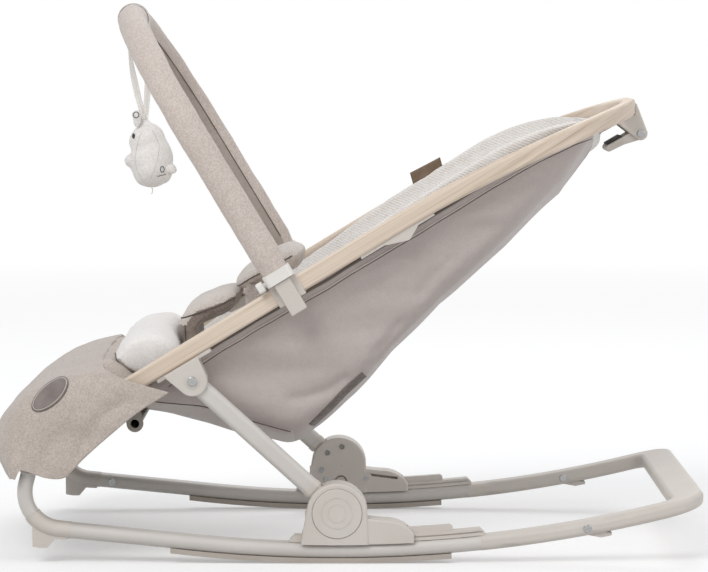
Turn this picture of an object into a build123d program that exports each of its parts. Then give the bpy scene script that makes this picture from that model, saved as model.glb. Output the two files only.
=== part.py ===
from build123d import *
from math import asin, atan2, cos, degrees, hypot, radians, sin, sqrt
import os

# Baby bouncer on rocker runners. Millimetres, +Z up, floor at Z = 0.
# The baby's head is at +X and its feet at -X; the baby's left side is -Y.
# Every left piece is modelled at -Y and mirrored for the right side.

# ---- clearances ---------------------------------------------------------------
RUN_FIT = 0.05          # radial, a pin turning in a bore
GAP = 0.4               # between bodies that move past each other
SEAT_GAP = 0.3          # soft solid to its neighbour

# ---- runners and base ---------------------------------------------------------
RAIL_Y = 220.0          # runner centre from the middle plane
RAIL_W = 28.0           # flat-oval runner, across
RAIL_H = 17.0           # flat-oval runner, high
RAIL_WALL = 1.5
ROCK_R = 1560.0         # underside of the runner
ROCK_X = -8.5           # lowest point of the arc
STRIP_T = 5.5           # rubber strip under the runner
STRIP_W = 22.0
STRIP_X0 = -196.5
STRIP_X1 = 120.5
STRIP_CROWN = 0.35      # worn flat on the lowest stretch of the strip
ARC_X0 = -160.0         # the runner is straight in front of this
TUBE_X0 = -309.0        # seam with the front elbow
TUBE_X1 = 154.0         # seam with the rear frame
SPIGOT = 26.0           # length of a plug inside a tube

BEND_R = 42.0           # front C bend, centre line
LEAN = 15.0             # degrees the front tube leans back above the bend
HOOP_W = 22.0           # front tube, across
HOOP_SPLIT = 48.0       # degrees round the bend where elbow and front tube meet
FOOT_X = -343.5
FOOT_L = 17.0
FOOT_Z = 17.0
AXLE_R = 6.0
AXLE_RISE = 18.5        # up the front tube from the bend to the axle
EYE_R = 11.0
EYE_INSET = 0.6

REAR_X = 408.0          # back edge of the rear cross plate
REAR_PLATE = 37.0
REAR_CORNER = 46.0
REAR_INNER = 14.0
ROOF = 3.0              # rear frame material above the stand channel
CHANNEL_W = 17.0
CHANNEL_X1 = 312.0
STAND_X = 273.3
STAND_PIN_R = 2.5
STAND_TAB = 24.0
STAND_TAB_DROP = 5.5
STAND_SWING = 7.2       # degrees, arm tip from runner to floor
SCREW_HEAD_R = 4.6
SCREW_HEAD_T = 1.6
RECESS_L = 5.2          # cross recess, tip to tip
RECESS_W = 1.1
RECESS_D = 0.9

TRACK_X0 = -62.0
TRACK_X1 = 158.0
TRACK_W = 18.0
TRACK_H = 8.0
RIB_X0 = -48.0
RIB_X1 = 122.0
RIB_W = 10.0
RIB_H = 15.0
TRACK_SLOT = 1.6

# ---- linkage ------------------------------------------------------------------
HUB_X = -8.5
HUB_Z = 57.0
PIVOT_X = -171.5        # strut pivot under the seat frame
PIVOT_Z = 205.0
STRUT_Y = 214.0
STRUT_T = 13.0          # strut tube, across
STRUT_D = 21.5          # strut tube, seen from the side
STRUT_WALL = 1.5
HUB_DISC_R = 17.5
TUBE_START = 34.0       # hub centre to the start of the hollow strut tube
HUB_WALL = 5.0          # housing's inner face to the hub disc
HUB_PIN_R = 5.0
PIVOT_PIN_R = 4.0
COLLAR = 41.0           # hub centre to the end of the lower collar
NECK_SWEEP = 30.0       # degrees the neck swings down in the housing
NECK_PLAY = 0.5 + GAP   # neck to the sides of its pocket

HOUSING_R = 34.0
HOUSING_W = 36.0
HOUSING_EDGE = 2.5
TAIL_SLIT = 36.0        # slit along the tail
HOUSING_FRONT = 41.0    # hub centre to the front wall at its foot
HOUSING_BACK = 35.5
TAIL_END = 87.0
TAIL_H = 30.5
TAIL_W = 32.0
LIFT = 2.0              # housing roof above the track, room for the linkage's arc
SKIRT = 1.2             # side skirts below the runner's top
HUB_DISC_T = 2 * (STRUT_Y - RAIL_Y + HOUSING_W / 2 - HUB_WALL)
BUTTON_R = 28.0
BUTTON_T = 6.0
BUTTON_PROUD = 1.2
BUTTON_TRAVEL = 3.0
BUTTON_STEMS = ((-19.0, 0.0), (19.0, 0.0))
STEM_R = 4.0
STEM_TRAVEL = 4.0       # depth of the stem bores behind the button's pocket
COVER_T = 2.5
LOCK_PIN_R = 7.0
LOCK_PIN_Z = -21.5      # below the hub centre
LOCK_PIN_X = 2.5
LOCK_PIN_Y = -STRUT_Y + HUB_DISC_T / 2 + GAP

# ---- seat frame ---------------------------------------------------------------
FRAME_X = -250.0        # point on the frame's centre line
FRAME_Z = 194.0
FRAME_TILT = 31.2       # degrees
FRAME_START = -28.0     # along the frame from that point
STRAIGHT = 362.0        # straight run from that point
FRAME_BEND_R = 1373.0
FRAME_Y = 205.0
FRAME_W = 16.0
FRAME_D = 20.0
FRAME_ROUND = 4.0
ARCH_X = 170.0          # plan view: the head arch begins here
ARCH_LEN = 165.0

ARM_T = 5.0
ARM_HEAD_R = 13.0
BAR_X = -238.0
BAR_Z = 154.0
BAR_R = 6.5

BRACKET_R = 17.0
BRACKET_STRIP = 70.0
BRACKET_T = 4.0
BRACKET_CHEEK = 3.5

SOCKET_F = 217.0        # along the frame
SOCKET_L = 34.0
SOCKET_WALL = 3.0
BLOCK_W = 20.0
BLOCK_DROP = 27.0
BLOCK_T = 12.0

CLIP_F = 355.0
CLIP_L = 96.0
CLIP_T = 3.0
CLIP_TAB = 12.0

HEAD_AHEAD = 12.9       # lever pin, beyond the apex of the frame
HEAD_BELOW = 24.82
HEAD_W = 66.0
HEAD_CHEEK = 4.0
HEAD_PIN_R = 3.0
LEVER_L = 42.0
LEVER_T = 9.0

# ---- toy bar ------------------------------------------------------------------
BAR_Y = 216.0
SLEEVE_D = 33.0
SLEEVE_T = 24.0
CORE_R = 7.0
BAR_APEX = 358.0        # above the frame, square to it
BAR_STRAIGHT = 190.0
END_FOOT = 13.5
END_TOP = 27.0
TONGUE_W = 14.0
TONGUE_T = 6.0
TONGUE_DEPTH = 34.0
TAB_SIZE = 12.0
TAB_TRAVEL = 2.0

# ---- soft goods ---------------------------------------------------------------
SLING_Y = 189.0
SLING_T = 3.0
LINER_T = 14.0
LINER_GAP = 1.0
LEG_Y = 236.0
POCKET_Y0 = 188.0
POCKET_Y1 = 232.5
LEG_FRONT_X = -408.0
LEG_SIDE_X = -384.6
LEG_FRONT_Y = 236.0
LEG_WAIST_X = -268.0
LEG_WAIST_Y = 217.0
LEG_END_X = -198.0
CUSHION_Y = 165.0
PAD_Y = 78.0
RIBBON_W = 18.0
RIBBON_T = 1.4
TAB_STEM_R = 3.0

# Side outlines in X and Z.
CUSHION = ((-256.0, 222.0), (-222.0, 246.0), (-207.0, 238.0))
CUSHION_R = (11.0, 15.0, 12.0)
CROTCH = ((-172.0, 173.5), (-181.0, 240.0), (-183.5, 262.0), (-160.0, 279.0), (-138.0, 290.0))
CROTCH_R = (8.0, 9.0, 10.0, 12.0, 9.0)
WAIST = ((-122.0, 303.0), (-104.0, 314.0), (-60.0, 335.0))
WAIST_R = (9.0, 12.0, 15.0)
BUCKLE = ((-136.0, 273.0), (-119.5, 280.5))
BUCKLE_R = 6.0
BUCKLE_Y = 22.0
STRAP = (-104.0, 305.0)
STRAP_W = 24.0
STRAP_T = 2.5
STRAP_L = 96.8
LEG_MIDDLE = ((-268, 232), (-313, 218), (-354, 195), (-384, 167), (-400, 145), (-408, 124), (-406, 104),
              (-397, 79), (-391, 69), (-384, 74), (-380, 104), (-366, 128), (-330, 150), (-270, 178), (-248, 205))
LEG_SHOULDER = ((-254, 251), (-295, 238), (-333, 217), (-362, 191), (-377, 169), (-385, 148), (-384, 135),
                (-375, 112), (-371, 97), (-314, 98), (-289, 124), (-239, 163), (-201, 189), (-206, 201), (-241, 197))
LEG_POCKET = ((-262, 241), (-296, 232), (-330, 212), (-356, 187), (-372, 164), (-378, 146), (-377, 136),
              (-371, 116), (-369, 90), (-340, 90), (-340, 104), (-318, 104), (-293, 130), (-243, 169), (-190, 195),
              (-196, 215), (-245, 205))
# Bag under the seat, from foot to head: x, then from the frame's centre line up to its rim, to the corner
# between side and floor, to the keel and to the top of the liner's wing
BAG_RUN = ((-228.0, -10.8, -35.3, -53.3, -9.3), (-165.0, -11.5, -74.5, -109.5, -5.5),
           (-115.0, -10.8, -123.3, -154.8, 3.2), (-85.0, -10.9, -151.9, -176.9, 6.1),
           (-62.0, -10.9, -170.9, -193.9, 8.1), (-38.0, -11.4, -172.9, -193.4, 10.6),
           (10.0, -11.5, -162.5, -180.5, 14.5), (55.0, -11.2, -138.7, -156.7, 20.3),
           (110.0, -9.6, -115.6, -133.6, 24.4))
# the same past ARCH_X, with x as a share of the bag's own arch
BAG_HEAD = ((0.101, -2.8, -85.8, -105.3, 29.2), (0.537, 0.5, -49.5, -71.5, 19.5), (0.779, -1.1, -17.6, -44.6, 0.4),
            (0.899, -1.3, -10.3, -24.3, -1.3))
BAG_CORNER = 30.0       # radius between the bag's side and its floor


# ================================================================ construction helpers
FT = radians(FRAME_TILT)
ROCK_Z = STRIP_T + ROCK_R
RAIL_R = ROCK_R - RAIL_H / 2
TOP_R = ROCK_R - RAIL_H


def arc_z(x, r):
    """Height of the rocker-centred circle of radius r at x."""
    return ROCK_Z - sqrt(r * r - (x - ROCK_X) ** 2)


def rail_z(x, r):
    """Runner height at x: the arc, or its straight tangent in front of ARC_X0."""
    if x >= ARC_X0:
        return arc_z(x, r)
    lean = asin((ROCK_X - ARC_X0) / r)
    return arc_z(ARC_X0, r) + (ARC_X0 - x) * sin(lean) / cos(lean)


def slab(profile, y0, y1):
    """A profile drawn in X and Z, extruded from y0 to y1."""
    return extrude(Plane.XZ.offset(-y1) * profile, y1 - y0)


def pin(x, z, r, y0, y1):
    return slab(Pos(x, z) * Circle(r), y0, y1)


def both(left):
    return left, mirror(left, about=Plane.XZ)


def band(x0, x1, r_out, r_in):
    """Sector between two rocker-centred circles, drawn in X and Z."""
    outer = ThreePointArc((x0, arc_z(x0, r_out)), ((x0 + x1) / 2, arc_z((x0 + x1) / 2, r_out)),
                          (x1, arc_z(x1, r_out)))
    inner = ThreePointArc((x0, arc_z(x0, r_in)), ((x0 + x1) / 2, arc_z((x0 + x1) / 2, r_in)),
                          (x1, arc_z(x1, r_in)))
    ends = Line(outer @ 0, inner @ 0) + Line(outer @ 1, inner @ 1)
    return make_face(outer + inner + ends)


def on_frame(f, n):
    """Point f along the seat frame's straight run and n square above its centre line."""
    return (FRAME_X + f * cos(FT) - n * sin(FT), FRAME_Z + f * sin(FT) + n * cos(FT))


def frame_box(f0, f1, n0, n1):
    corners = [on_frame(f0, n0), on_frame(f1, n0), on_frame(f1, n1), on_frame(f0, n1)]
    return make_face(Polyline(*corners, close=True))


def solid_list(*shapes):
    return Compound(children=[s for shape in shapes for s in shape.solids()])


def recess(x, z, y, outward, size=1.0):
    """Cross recess sunk from a head's outer face at y."""
    bar = Rectangle(RECESS_L * size, RECESS_W * size)
    cross = Pos(x, z) * Rot(0, 0, 20) * (bar + Rot(0, 0, 90) * bar)
    return slab(cross, min(y - outward * RECESS_D, y + outward), max(y - outward * RECESS_D, y + outward))


def screw_head(x, z, y, outward):
    """Cross-recess pan head on a face at y; outward is -1 or 1 along Y."""
    face = y + outward * SCREW_HEAD_T
    head = pin(x, z, SCREW_HEAD_R, min(y, face), max(y, face))
    rim = head.edges().filter_by(GeomType.CIRCLE).sort_by(Axis.Y)[-1 if outward > 0 else 0]
    return fillet(rim, SCREW_HEAD_T * 0.6) - recess(x, z, face, outward)


# ================================================================ base: runners and frames
BEND_X = -361.0 + BEND_R                     # centre of the front C bend
BEND_TURN = degrees(asin((ROCK_X - ARC_X0) / RAIL_R))
BEND_FOOT_X = BEND_X - BEND_R * sin(radians(BEND_TURN))
BEND_Z = rail_z(BEND_FOOT_X, RAIL_R) + BEND_R * cos(radians(BEND_TURN))
SPLIT_DIR = radians(270 - BEND_TURN - HOOP_SPLIT)
TOP_DIR = radians(180 - LEAN)
HOOP_TOP = (BEND_X + BEND_R * cos(TOP_DIR), BEND_Z + BEND_R * sin(TOP_DIR))
AXLE_X = HOOP_TOP[0] + AXLE_RISE * sin(radians(LEAN))
AXLE_Z = HOOP_TOP[1] + AXLE_RISE * cos(radians(LEAN))


def oval(width, height, wall=0.0):
    outer = SlotOverall(width, height)
    if wall:
        return outer - SlotOverall(width - 2 * wall, height - 2 * wall)
    return outer


def swept(section, path):
    """Sweep a section whose first axis is +Y along a path drawn in X and Z at -RAIL_Y."""
    route = Plane.XZ.offset(RAIL_Y) * path
    start = Plane(origin=route @ 0, x_dir=(0, 1, 0), z_dir=route % 0)
    return sweep(start * section, path=route)


def rocker_path():
    x_turn = ARC_X0
    straight = Line((TUBE_X0, rail_z(TUBE_X0, RAIL_R)), (x_turn, rail_z(x_turn, RAIL_R)))
    x_end = TUBE_X1 + 2.0
    middle = (x_turn + x_end) / 2
    arc = ThreePointArc((x_turn, arc_z(x_turn, RAIL_R)), (middle, arc_z(middle, RAIL_R)),
                        (x_end, arc_z(x_end, RAIL_R)))
    return straight + arc


def rocker_tube():
    tube = swept(oval(RAIL_W, RAIL_H, RAIL_WALL), rocker_path())
    return tube - slab(Pos(TUBE_X1 + RAIL_H, FRAME_Z) * Rectangle(2 * RAIL_H, 2 * FRAME_Z), -RAIL_Y - RAIL_W, 0)


def bend_arc(start_dir, end_dir):
    return CenterArc((BEND_X, BEND_Z), BEND_R, degrees(start_dir), degrees(end_dir - start_dir))


def front_elbow():
    foot_dir = radians(270 - BEND_TURN)
    x_plug = TUBE_X0 + SPIGOT
    run = Line((TUBE_X0, rail_z(TUBE_X0, RAIL_R)), (BEND_FOOT_X, rail_z(BEND_FOOT_X, RAIL_R)))
    body = swept(oval(RAIL_W, RAIL_H + 1.0), run + bend_arc(foot_dir, SPLIT_DIR))
    plug_run = Line((TUBE_X0, rail_z(TUBE_X0, RAIL_R)), (x_plug, rail_z(x_plug, RAIL_R)))
    plug = swept(oval(RAIL_W - 2 * RAIL_WALL, RAIL_H - 2 * RAIL_WALL), plug_run)
    x_back = FOOT_X + FOOT_L
    x_toe = TUBE_X0 - 4.0
    top = rail_z(x_back, RAIL_R)
    foot_profile = make_face(Polyline((FOOT_X - FOOT_L / 2, FOOT_Z + 1.5), (FOOT_X, FOOT_Z),
                                      (FOOT_X + FOOT_L / 2, FOOT_Z), (x_back, FOOT_Z + 10.0),
                                      (x_toe, rail_z(x_toe, ROCK_R) - 1.5), (x_toe, top),
                                      (FOOT_X, top + 8.0), (FOOT_X - FOOT_L / 2, top + 8.0), close=True))
    foot = slab(foot_profile, -RAIL_Y - RAIL_W * 0.36, -RAIL_Y + RAIL_W * 0.36)
    foot = fillet(foot.edges().filter_by(Axis.Y).sort_by(Axis.Z)[:3], 1.2)
    inner = slab(Pos(BEND_X, BEND_Z) * Circle(BEND_R), -RAIL_Y - RAIL_W, -RAIL_Y + RAIL_W)
    return body + (foot - inner) + plug


def front_tube():
    rise = Line(HOOP_TOP, (AXLE_X, AXLE_Z))
    tube = swept(oval(HOOP_W, RAIL_H, RAIL_WALL), bend_arc(SPLIT_DIR, TOP_DIR) + rise)
    y0, y1 = -RAIL_Y - HOOP_W / 2 + EYE_INSET, -RAIL_Y + HOOP_W / 2 - EYE_INSET
    eye = pin(AXLE_X, AXLE_Z, EYE_R, y0, y1)
    return (tube + eye) - pin(AXLE_X, AXLE_Z, AXLE_R, y0 - 1, y1 + 1)


def front_axle():
    """Tube across the front on which the seat's arms turn, with a domed cap at each end."""
    half = RAIL_Y + HOOP_W / 2 + 0.8
    rod = pin(AXLE_X, AXLE_Z, AXLE_R, -half, half)
    bore = pin(AXLE_X, AXLE_Z, AXLE_R - RAIL_WALL, -half + 3, half - 3)
    return fillet(rod.edges().filter_by(GeomType.CIRCLE), 0.6) - bore


def rear_frame():
    """Moulded U that plugs into both runners, with a channel under each arm for a stand."""
    outer_half = RAIL_Y + RAIL_W / 2
    inner_half = RAIL_Y - RAIL_W / 2
    length = REAR_X - TUBE_X1
    plan = Pos(TUBE_X1 + length / 2, 0) * Rectangle(length, 2 * outer_half)
    plan = fillet(plan.vertices().group_by(Axis.X)[-1], REAR_CORNER)
    gap_len = length - REAR_PLATE
    gap = Pos(TUBE_X1 + gap_len / 2, 0) * Rectangle(gap_len, 2 * inner_half)
    gap = fillet(gap.vertices().group_by(Axis.X)[-1], REAR_INNER)
    side = slab(band(TUBE_X1, REAR_X + 1.0, ROCK_R, TOP_R), -outer_half, outer_half)
    body = side & extrude(plan - gap, RAIL_H * 8)
    long_edges = [e for e in body.edges() if e.length > RAIL_H * 1.6 and e.center().X > TUBE_X1 + 5]
    body = fillet(long_edges, RAIL_H * 0.36)
    for side_y in (-RAIL_Y, RAIL_Y):
        channel = slab(band(TUBE_X1 - 1.0, CHANNEL_X1, ROCK_R + 2.0, TOP_R + ROOF),
                       side_y - CHANNEL_W / 2, side_y + CHANNEL_W / 2)
        body -= channel
        body -= pin(STAND_X, arc_z(STAND_X, RAIL_R), STAND_PIN_R, side_y - RAIL_W, side_y + RAIL_W)
    return body


def rear_plugs():
    """Spigot blocks, fused to the rear frame, that fill the runner tubes' ends."""
    x0 = TUBE_X1 - SPIGOT
    half = (RAIL_W - RAIL_H) / 2 - 0.2
    return slab(band(x0, TUBE_X1 + 0.5, ROCK_R - RAIL_WALL - 0.1, TOP_R + RAIL_WALL + 0.1), -RAIL_Y - half,
                -RAIL_Y + half)


def rocking_strip():
    thick = slab(band(STRIP_X0, STRIP_X1, ROCK_R + STRIP_T + STRIP_CROWN, ROCK_R),
                 -RAIL_Y - STRIP_W / 2, -RAIL_Y + STRIP_W / 2)
    floor = Pos(0, 0, -RAIL_H) * Box(2 * RAIL_R, 3 * RAIL_Y, 2 * RAIL_H)
    return thick - floor - swept(oval(RAIL_W, RAIL_H), rocker_path())


def slide_track():
    """Stepped guide on the runner: a wide foot, a narrow rib, and a groove down each side."""
    foot = slab(band(TRACK_X0, TRACK_X1, TOP_R, TOP_R - TRACK_H), -RAIL_Y - TRACK_W / 2,
                -RAIL_Y + TRACK_W / 2)
    ends = [e for e in foot.edges().filter_by(Axis.Y) if e.center().Z > rail_z(e.center().X, TOP_R) + 1]
    foot = chamfer(ends, TRACK_H * 0.7)
    rib = slab(band(RIB_X0, RIB_X1, TOP_R - TRACK_H, TOP_R - RIB_H), -RAIL_Y - RIB_W / 2,
               -RAIL_Y + RIB_W / 2)
    tops = [e for e in rib.edges().filter_by(Axis.Y) if e.center().Z > rail_z(e.center().X, TOP_R - RIB_H) - 1]
    rib = fillet(tops, (RIB_H - TRACK_H) * 0.6)
    groove_z = TRACK_H * 0.45
    groove = slab(band(TRACK_X0 + 14, TRACK_X1 + 1, TOP_R - groove_z, TOP_R - groove_z - TRACK_SLOT),
                  -RAIL_Y - TRACK_W / 2 - 1, -RAIL_Y - TRACK_W / 2 + 2.0)
    groove += mirror(groove, about=Plane.XZ.offset(RAIL_Y))
    return foot + rib - groove


def stand():
    """Swing-down stand in the rear channel: arm, pivot boss and toe tab."""
    half = CHANNEL_W / 2 - GAP
    top = TOP_R + ROOF + STAND_TAB_DROP
    arm = slab(band(TUBE_X1 + 5 * GAP, STAND_X, ROCK_R - 1.0, top), -RAIL_Y - half, -RAIL_Y + half)
    arm += pin(STAND_X, arc_z(STAND_X, RAIL_R), RAIL_H / 2 - ROOF - GAP, -RAIL_Y - half, -RAIL_Y + half)
    tab_x = STAND_X + STAND_TAB
    drop = STAND_TAB_DROP
    tab = make_face(Polyline((STAND_X, arc_z(STAND_X, ROCK_R - 6.0)), (STAND_X, arc_z(STAND_X, ROCK_R) + 0.5),
                             (tab_x - 8, arc_z(tab_x - 8, ROCK_R) - drop), (tab_x + 4, arc_z(tab_x, ROCK_R) - drop + 1),
                             (tab_x + 4, arc_z(tab_x, ROCK_R) - drop + 3.5), (tab_x - 6, arc_z(tab_x, ROCK_R)),
                             close=True))
    arm += slab(tab, -RAIL_Y - half, -RAIL_Y + half)
    return arm - pin(STAND_X, arc_z(STAND_X, RAIL_R), STAND_PIN_R + RUN_FIT, -RAIL_Y - half - 1,
                     -RAIL_Y + half + 1)


def stand_pin():
    z = arc_z(STAND_X, RAIL_R)
    y0, y1 = -RAIL_Y - RAIL_W / 2, -RAIL_Y + RAIL_W / 2
    return pin(STAND_X, z, STAND_PIN_R, y0, y1) + screw_head(STAND_X, z, y0, -1) + screw_head(STAND_X, z, y1, 1)


def elbow_screw():
    x = TUBE_X0 + SPIGOT * 0.6
    return screw_head(x, rail_z(x, RAIL_R), -RAIL_Y + RAIL_W / 2, 1)


# ================================================================ linkage: struts and carriages
STRUT_L = hypot(PIVOT_X - HUB_X, PIVOT_Z - HUB_Z)
STRUT_DIR = atan2(PIVOT_Z - HUB_Z, PIVOT_X - HUB_X)


def strut_plane(s):
    """Section plane across the left strut, s along it from the hub; first axis is Y."""
    along = Vector(cos(STRUT_DIR), 0, sin(STRUT_DIR))
    return Plane(origin=Vector(HUB_X, -STRUT_Y, HUB_Z) + along * s, x_dir=(0, 1, 0), z_dir=along)


def strut_run(section, s0, s1):
    return extrude(strut_plane(s0) * section, s1 - s0)


def strut_section(grow=0.0):
    return Rot(0, 0, 90) * SlotOverall(STRUT_D + 2 * grow, STRUT_T + 2 * grow)


def strut_tube():
    hollow = strut_run(strut_section() - strut_section(-STRUT_WALL), TUBE_START, STRUT_L - 24.0)
    closed = strut_run(strut_section(), STRUT_L - 24.0, STRUT_L - 2.0)
    eye = pin(PIVOT_X, PIVOT_Z, STRUT_D / 2, -STRUT_Y - STRUT_T / 2 + EYE_INSET, -STRUT_Y + STRUT_T / 2 - EYE_INSET)
    bore = pin(PIVOT_X, PIVOT_Z, PIVOT_PIN_R + RUN_FIT, -STRUT_Y - STRUT_T, -STRUT_Y + STRUT_T)
    return (hollow + closed + eye) - bore


def strut_hub():
    """Disc that turns in the carriage, its neck, collar and the plug in the strut tube."""
    disc = pin(HUB_X, HUB_Z, HUB_DISC_R, -STRUT_Y - HUB_DISC_T / 2, -STRUT_Y + HUB_DISC_T / 2)
    disc = fillet(disc.edges().filter_by(GeomType.CIRCLE), 0.8)
    neck = strut_run(RectangleRounded(STRUT_T, STRUT_D - 3.0, 3.0), HUB_DISC_R - 8.0, COLLAR)
    collar = strut_run(strut_section(0.7) - strut_section(), COLLAR - 6.0, COLLAR)
    plug = strut_run(strut_section(-STRUT_WALL), COLLAR - 1.0, COLLAR + SPIGOT)
    neck -= strut_run(strut_section() - strut_section(-STRUT_WALL), TUBE_START, COLLAR + 1.0)
    hub_bore = pin(HUB_X, HUB_Z, HUB_PIN_R + RUN_FIT, -RAIL_Y - HOUSING_W, -RAIL_Y + HOUSING_W)
    return (disc + neck + collar + plug) - hub_bore


def carriage_profile():
    """Outline of the housing from the side: round top on a wider foot, all in tangent lines."""
    corner = 3.0
    low = arc_z(HUB_X, TOP_R) - 4.0
    dome = Pos(HUB_X, HUB_Z) * Circle(HOUSING_R)
    toe = Pos(HUB_X - HOUSING_FRONT + corner, low + corner) * Circle(corner)
    heel = Pos(HUB_X + HOUSING_BACK - corner, low + corner) * Circle(corner)
    return make_hull((dome + toe + heel).edges())


def tail_profile():
    x0, x1 = HUB_X + HOUSING_BACK - 12.0, HUB_X + TAIL_END
    base = arc_z(HUB_X + HOUSING_BACK, TOP_R + SKIRT)
    top = base + TAIL_H
    nose = 17.0
    return make_face(Polyline((x0, base - 1), (x0, top)) + Line((x0, top), (x1 - 2 * nose, top - 3.0))
                     + ThreePointArc((x1 - 2 * nose, top - 3.0), (x1 - nose * 0.75, top - 8.0), (x1, top - 19.0))
                     + Line((x1, top - 19.0), (x1, base - 1)) + Line((x1, base - 1), (x0, base - 1)))


def below_runner():
    """Everything under the carriage's curved sole."""
    x0, x1 = HUB_X - 2 * HOUSING_FRONT, HUB_X + 2 * TAIL_END
    return slab(band(x0, x1, ROCK_R, TOP_R + SKIRT), -RAIL_Y - RAIL_W, -RAIL_Y + RAIL_W)


def track_tunnel():
    """Room under the carriage for the runner's top, the track and its rib."""
    x0, x1 = HUB_X - 2 * HOUSING_FRONT, HUB_X + 2 * TAIL_END
    runner = slab(band(x0, x1, TOP_R + RAIL_H, TOP_R - LIFT), -RAIL_Y - RAIL_W / 2 - GAP,
                  -RAIL_Y + RAIL_W / 2 + GAP)
    foot = slab(band(x0, x1, TOP_R, TOP_R - TRACK_H - LIFT), -RAIL_Y - TRACK_W / 2 - GAP,
                -RAIL_Y + TRACK_W / 2 + GAP)
    rib = slab(band(x0, x1, TOP_R, TOP_R - RIB_H - LIFT), -RAIL_Y - RIB_W / 2 - GAP, -RAIL_Y + RIB_W / 2 + GAP)
    return runner + foot + rib


def neck_room():
    """Pocket in the housing for the hub disc and the swing of its neck."""
    y0, y1 = -STRUT_Y - HUB_DISC_T / 2 - GAP, -STRUT_Y + HUB_DISC_T / 2 + GAP
    half = (STRUT_D - 3.0) / 2 + GAP
    reach = HOUSING_R * 2
    room = pin(HUB_X, HUB_Z, HUB_DISC_R + GAP, y0, y1)
    y0, y1 = -STRUT_Y - STRUT_T / 2 - NECK_PLAY, -STRUT_Y + STRUT_T / 2 + NECK_PLAY
    high = degrees(STRUT_DIR) - 4.0
    low = degrees(STRUT_DIR) + NECK_SWEEP
    up = slab(Pos(HUB_X, HUB_Z) * Rot(0, 0, high) * Pos(reach / 2, 0) * Rectangle(reach, 2 * half), y0, y1)
    down = slab(Pos(HUB_X, HUB_Z) * Rot(0, 0, low) * Pos(reach / 2, 0) * Rectangle(reach, 2 * half), y0, y1)
    a, b = radians(high), radians(low)
    fan = make_face(Polyline((HUB_X, HUB_Z), (HUB_X + reach * cos(a), HUB_Z + reach * sin(a)),
                             (HUB_X + reach * cos((a + b) / 2), HUB_Z + reach * sin((a + b) / 2)),
                             (HUB_X + reach * cos(b), HUB_Z + reach * sin(b)), close=True))
    return room + up + down + slab(fan, y0, y1)


def lower_cover_profile():
    """Lower inner cover: straight sole, wavy top edge, lobe round the rear screw."""
    x0, x1 = HUB_X - 36.5, HUB_X + 42.0
    wave = Spline((x0, HUB_Z - 1.5), (HUB_X + 4.0, HUB_Z - 2.0), (HUB_X + 18.0, HUB_Z - 9.0),
                  (HUB_X + 33.0, HUB_Z - 9.5), (x1, HUB_Z - 17.0), tangents=((1, 0), (0.2, -1)))
    low = arc_z(x0, TOP_R - LIFT) + 1.0
    edges = (wave + Line(wave @ 1, (x1 - 4.0, low + 3.0)) + Line((x1 - 4.0, low + 3.0), (x0, low))
             + Line((x0, low), wave @ 0))
    return make_face(edges)


def hub_cover_profile():
    disc = Pos(HUB_X, HUB_Z) * Circle(HOUSING_R - 4.5)
    cut = Pos(HUB_X, HUB_Z - HOUSING_R - 1.0) * Rectangle(4 * HOUSING_R, 2 * HOUSING_R)
    return disc - cut - lower_cover_profile()


def carriage():
    """Housing that slides on the runner, with its tail, pockets and pin holes."""
    y0, y1 = -RAIL_Y - HOUSING_W / 2, -RAIL_Y + HOUSING_W / 2
    body = slab(carriage_profile(), y0, y1)
    body = fillet(body.faces().filter_by(Axis.Y).edges(), HOUSING_EDGE)
    tail = slab(tail_profile(), -RAIL_Y - TAIL_W / 2, -RAIL_Y + TAIL_W / 2)
    tail = fillet(tail.faces().filter_by(Axis.Y).edges(), HOUSING_EDGE)
    slit = Pos(HUB_X + 56.0, HUB_Z - 15.0) * Rot(0, 0, -7) * SlotOverall(TAIL_SLIT, 3.2)
    body = body + tail - below_runner() - track_tunnel() - neck_room()
    body -= slab(slit, -RAIL_Y + RIB_W / 2 + 3.0, -RAIL_Y + TAIL_W)
    body -= pin(HUB_X, HUB_Z, BUTTON_R + GAP, y0 - 1, y0 + BUTTON_T + BUTTON_TRAVEL)
    body -= pin(HUB_X, HUB_Z, HUB_PIN_R, y0 + BUTTON_T, y1 + 1)
    body -= slab(hub_cover_profile() + lower_cover_profile(), y1 - COVER_T, y1 + 1)
    body -= pin(HUB_X + LOCK_PIN_X, HUB_Z + LOCK_PIN_Z, LOCK_PIN_R + RUN_FIT, LOCK_PIN_Y - 1.0, y1 + 1)
    for dx, dz in BUTTON_STEMS:
        body -= pin(HUB_X + dx, HUB_Z + dz, STEM_R + RUN_FIT, y0 - 1, y0 + BUTTON_T + BUTTON_TRAVEL + STEM_TRAVEL)
    return body


def hub_cover():
    y1 = -RAIL_Y + HOUSING_W / 2
    cover = slab(hub_cover_profile(), y1 - COVER_T, y1)
    return cover - pin(HUB_X, HUB_Z, HUB_PIN_R, y1 - COVER_T - 1, y1 - 0.8)


def lock_plate():
    y1 = -RAIL_Y + HOUSING_W / 2
    plate = slab(lower_cover_profile(), y1 - COVER_T, y1)
    plate -= pin(HUB_X, HUB_Z, HUB_PIN_R, y1 - COVER_T - 1, y1 - 0.8)
    return plate - pin(HUB_X + LOCK_PIN_X, HUB_Z + LOCK_PIN_Z, LOCK_PIN_R + 1.2, y1 - COVER_T - 1, y1 + 1)


def hub_pin():
    y0 = -RAIL_Y - HOUSING_W / 2 + BUTTON_T + BUTTON_TRAVEL + GAP
    return pin(HUB_X, HUB_Z, HUB_PIN_R, y0, -RAIL_Y + HOUSING_W / 2 - 0.8)


def lock_pin():
    y1 = -RAIL_Y + HOUSING_W / 2
    plunger = pin(HUB_X + LOCK_PIN_X, HUB_Z + LOCK_PIN_Z, LOCK_PIN_R, LOCK_PIN_Y, y1 - 0.4)
    return chamfer(plunger.edges().filter_by(GeomType.CIRCLE).sort_by(Axis.Y)[-1], 0.8)


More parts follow.
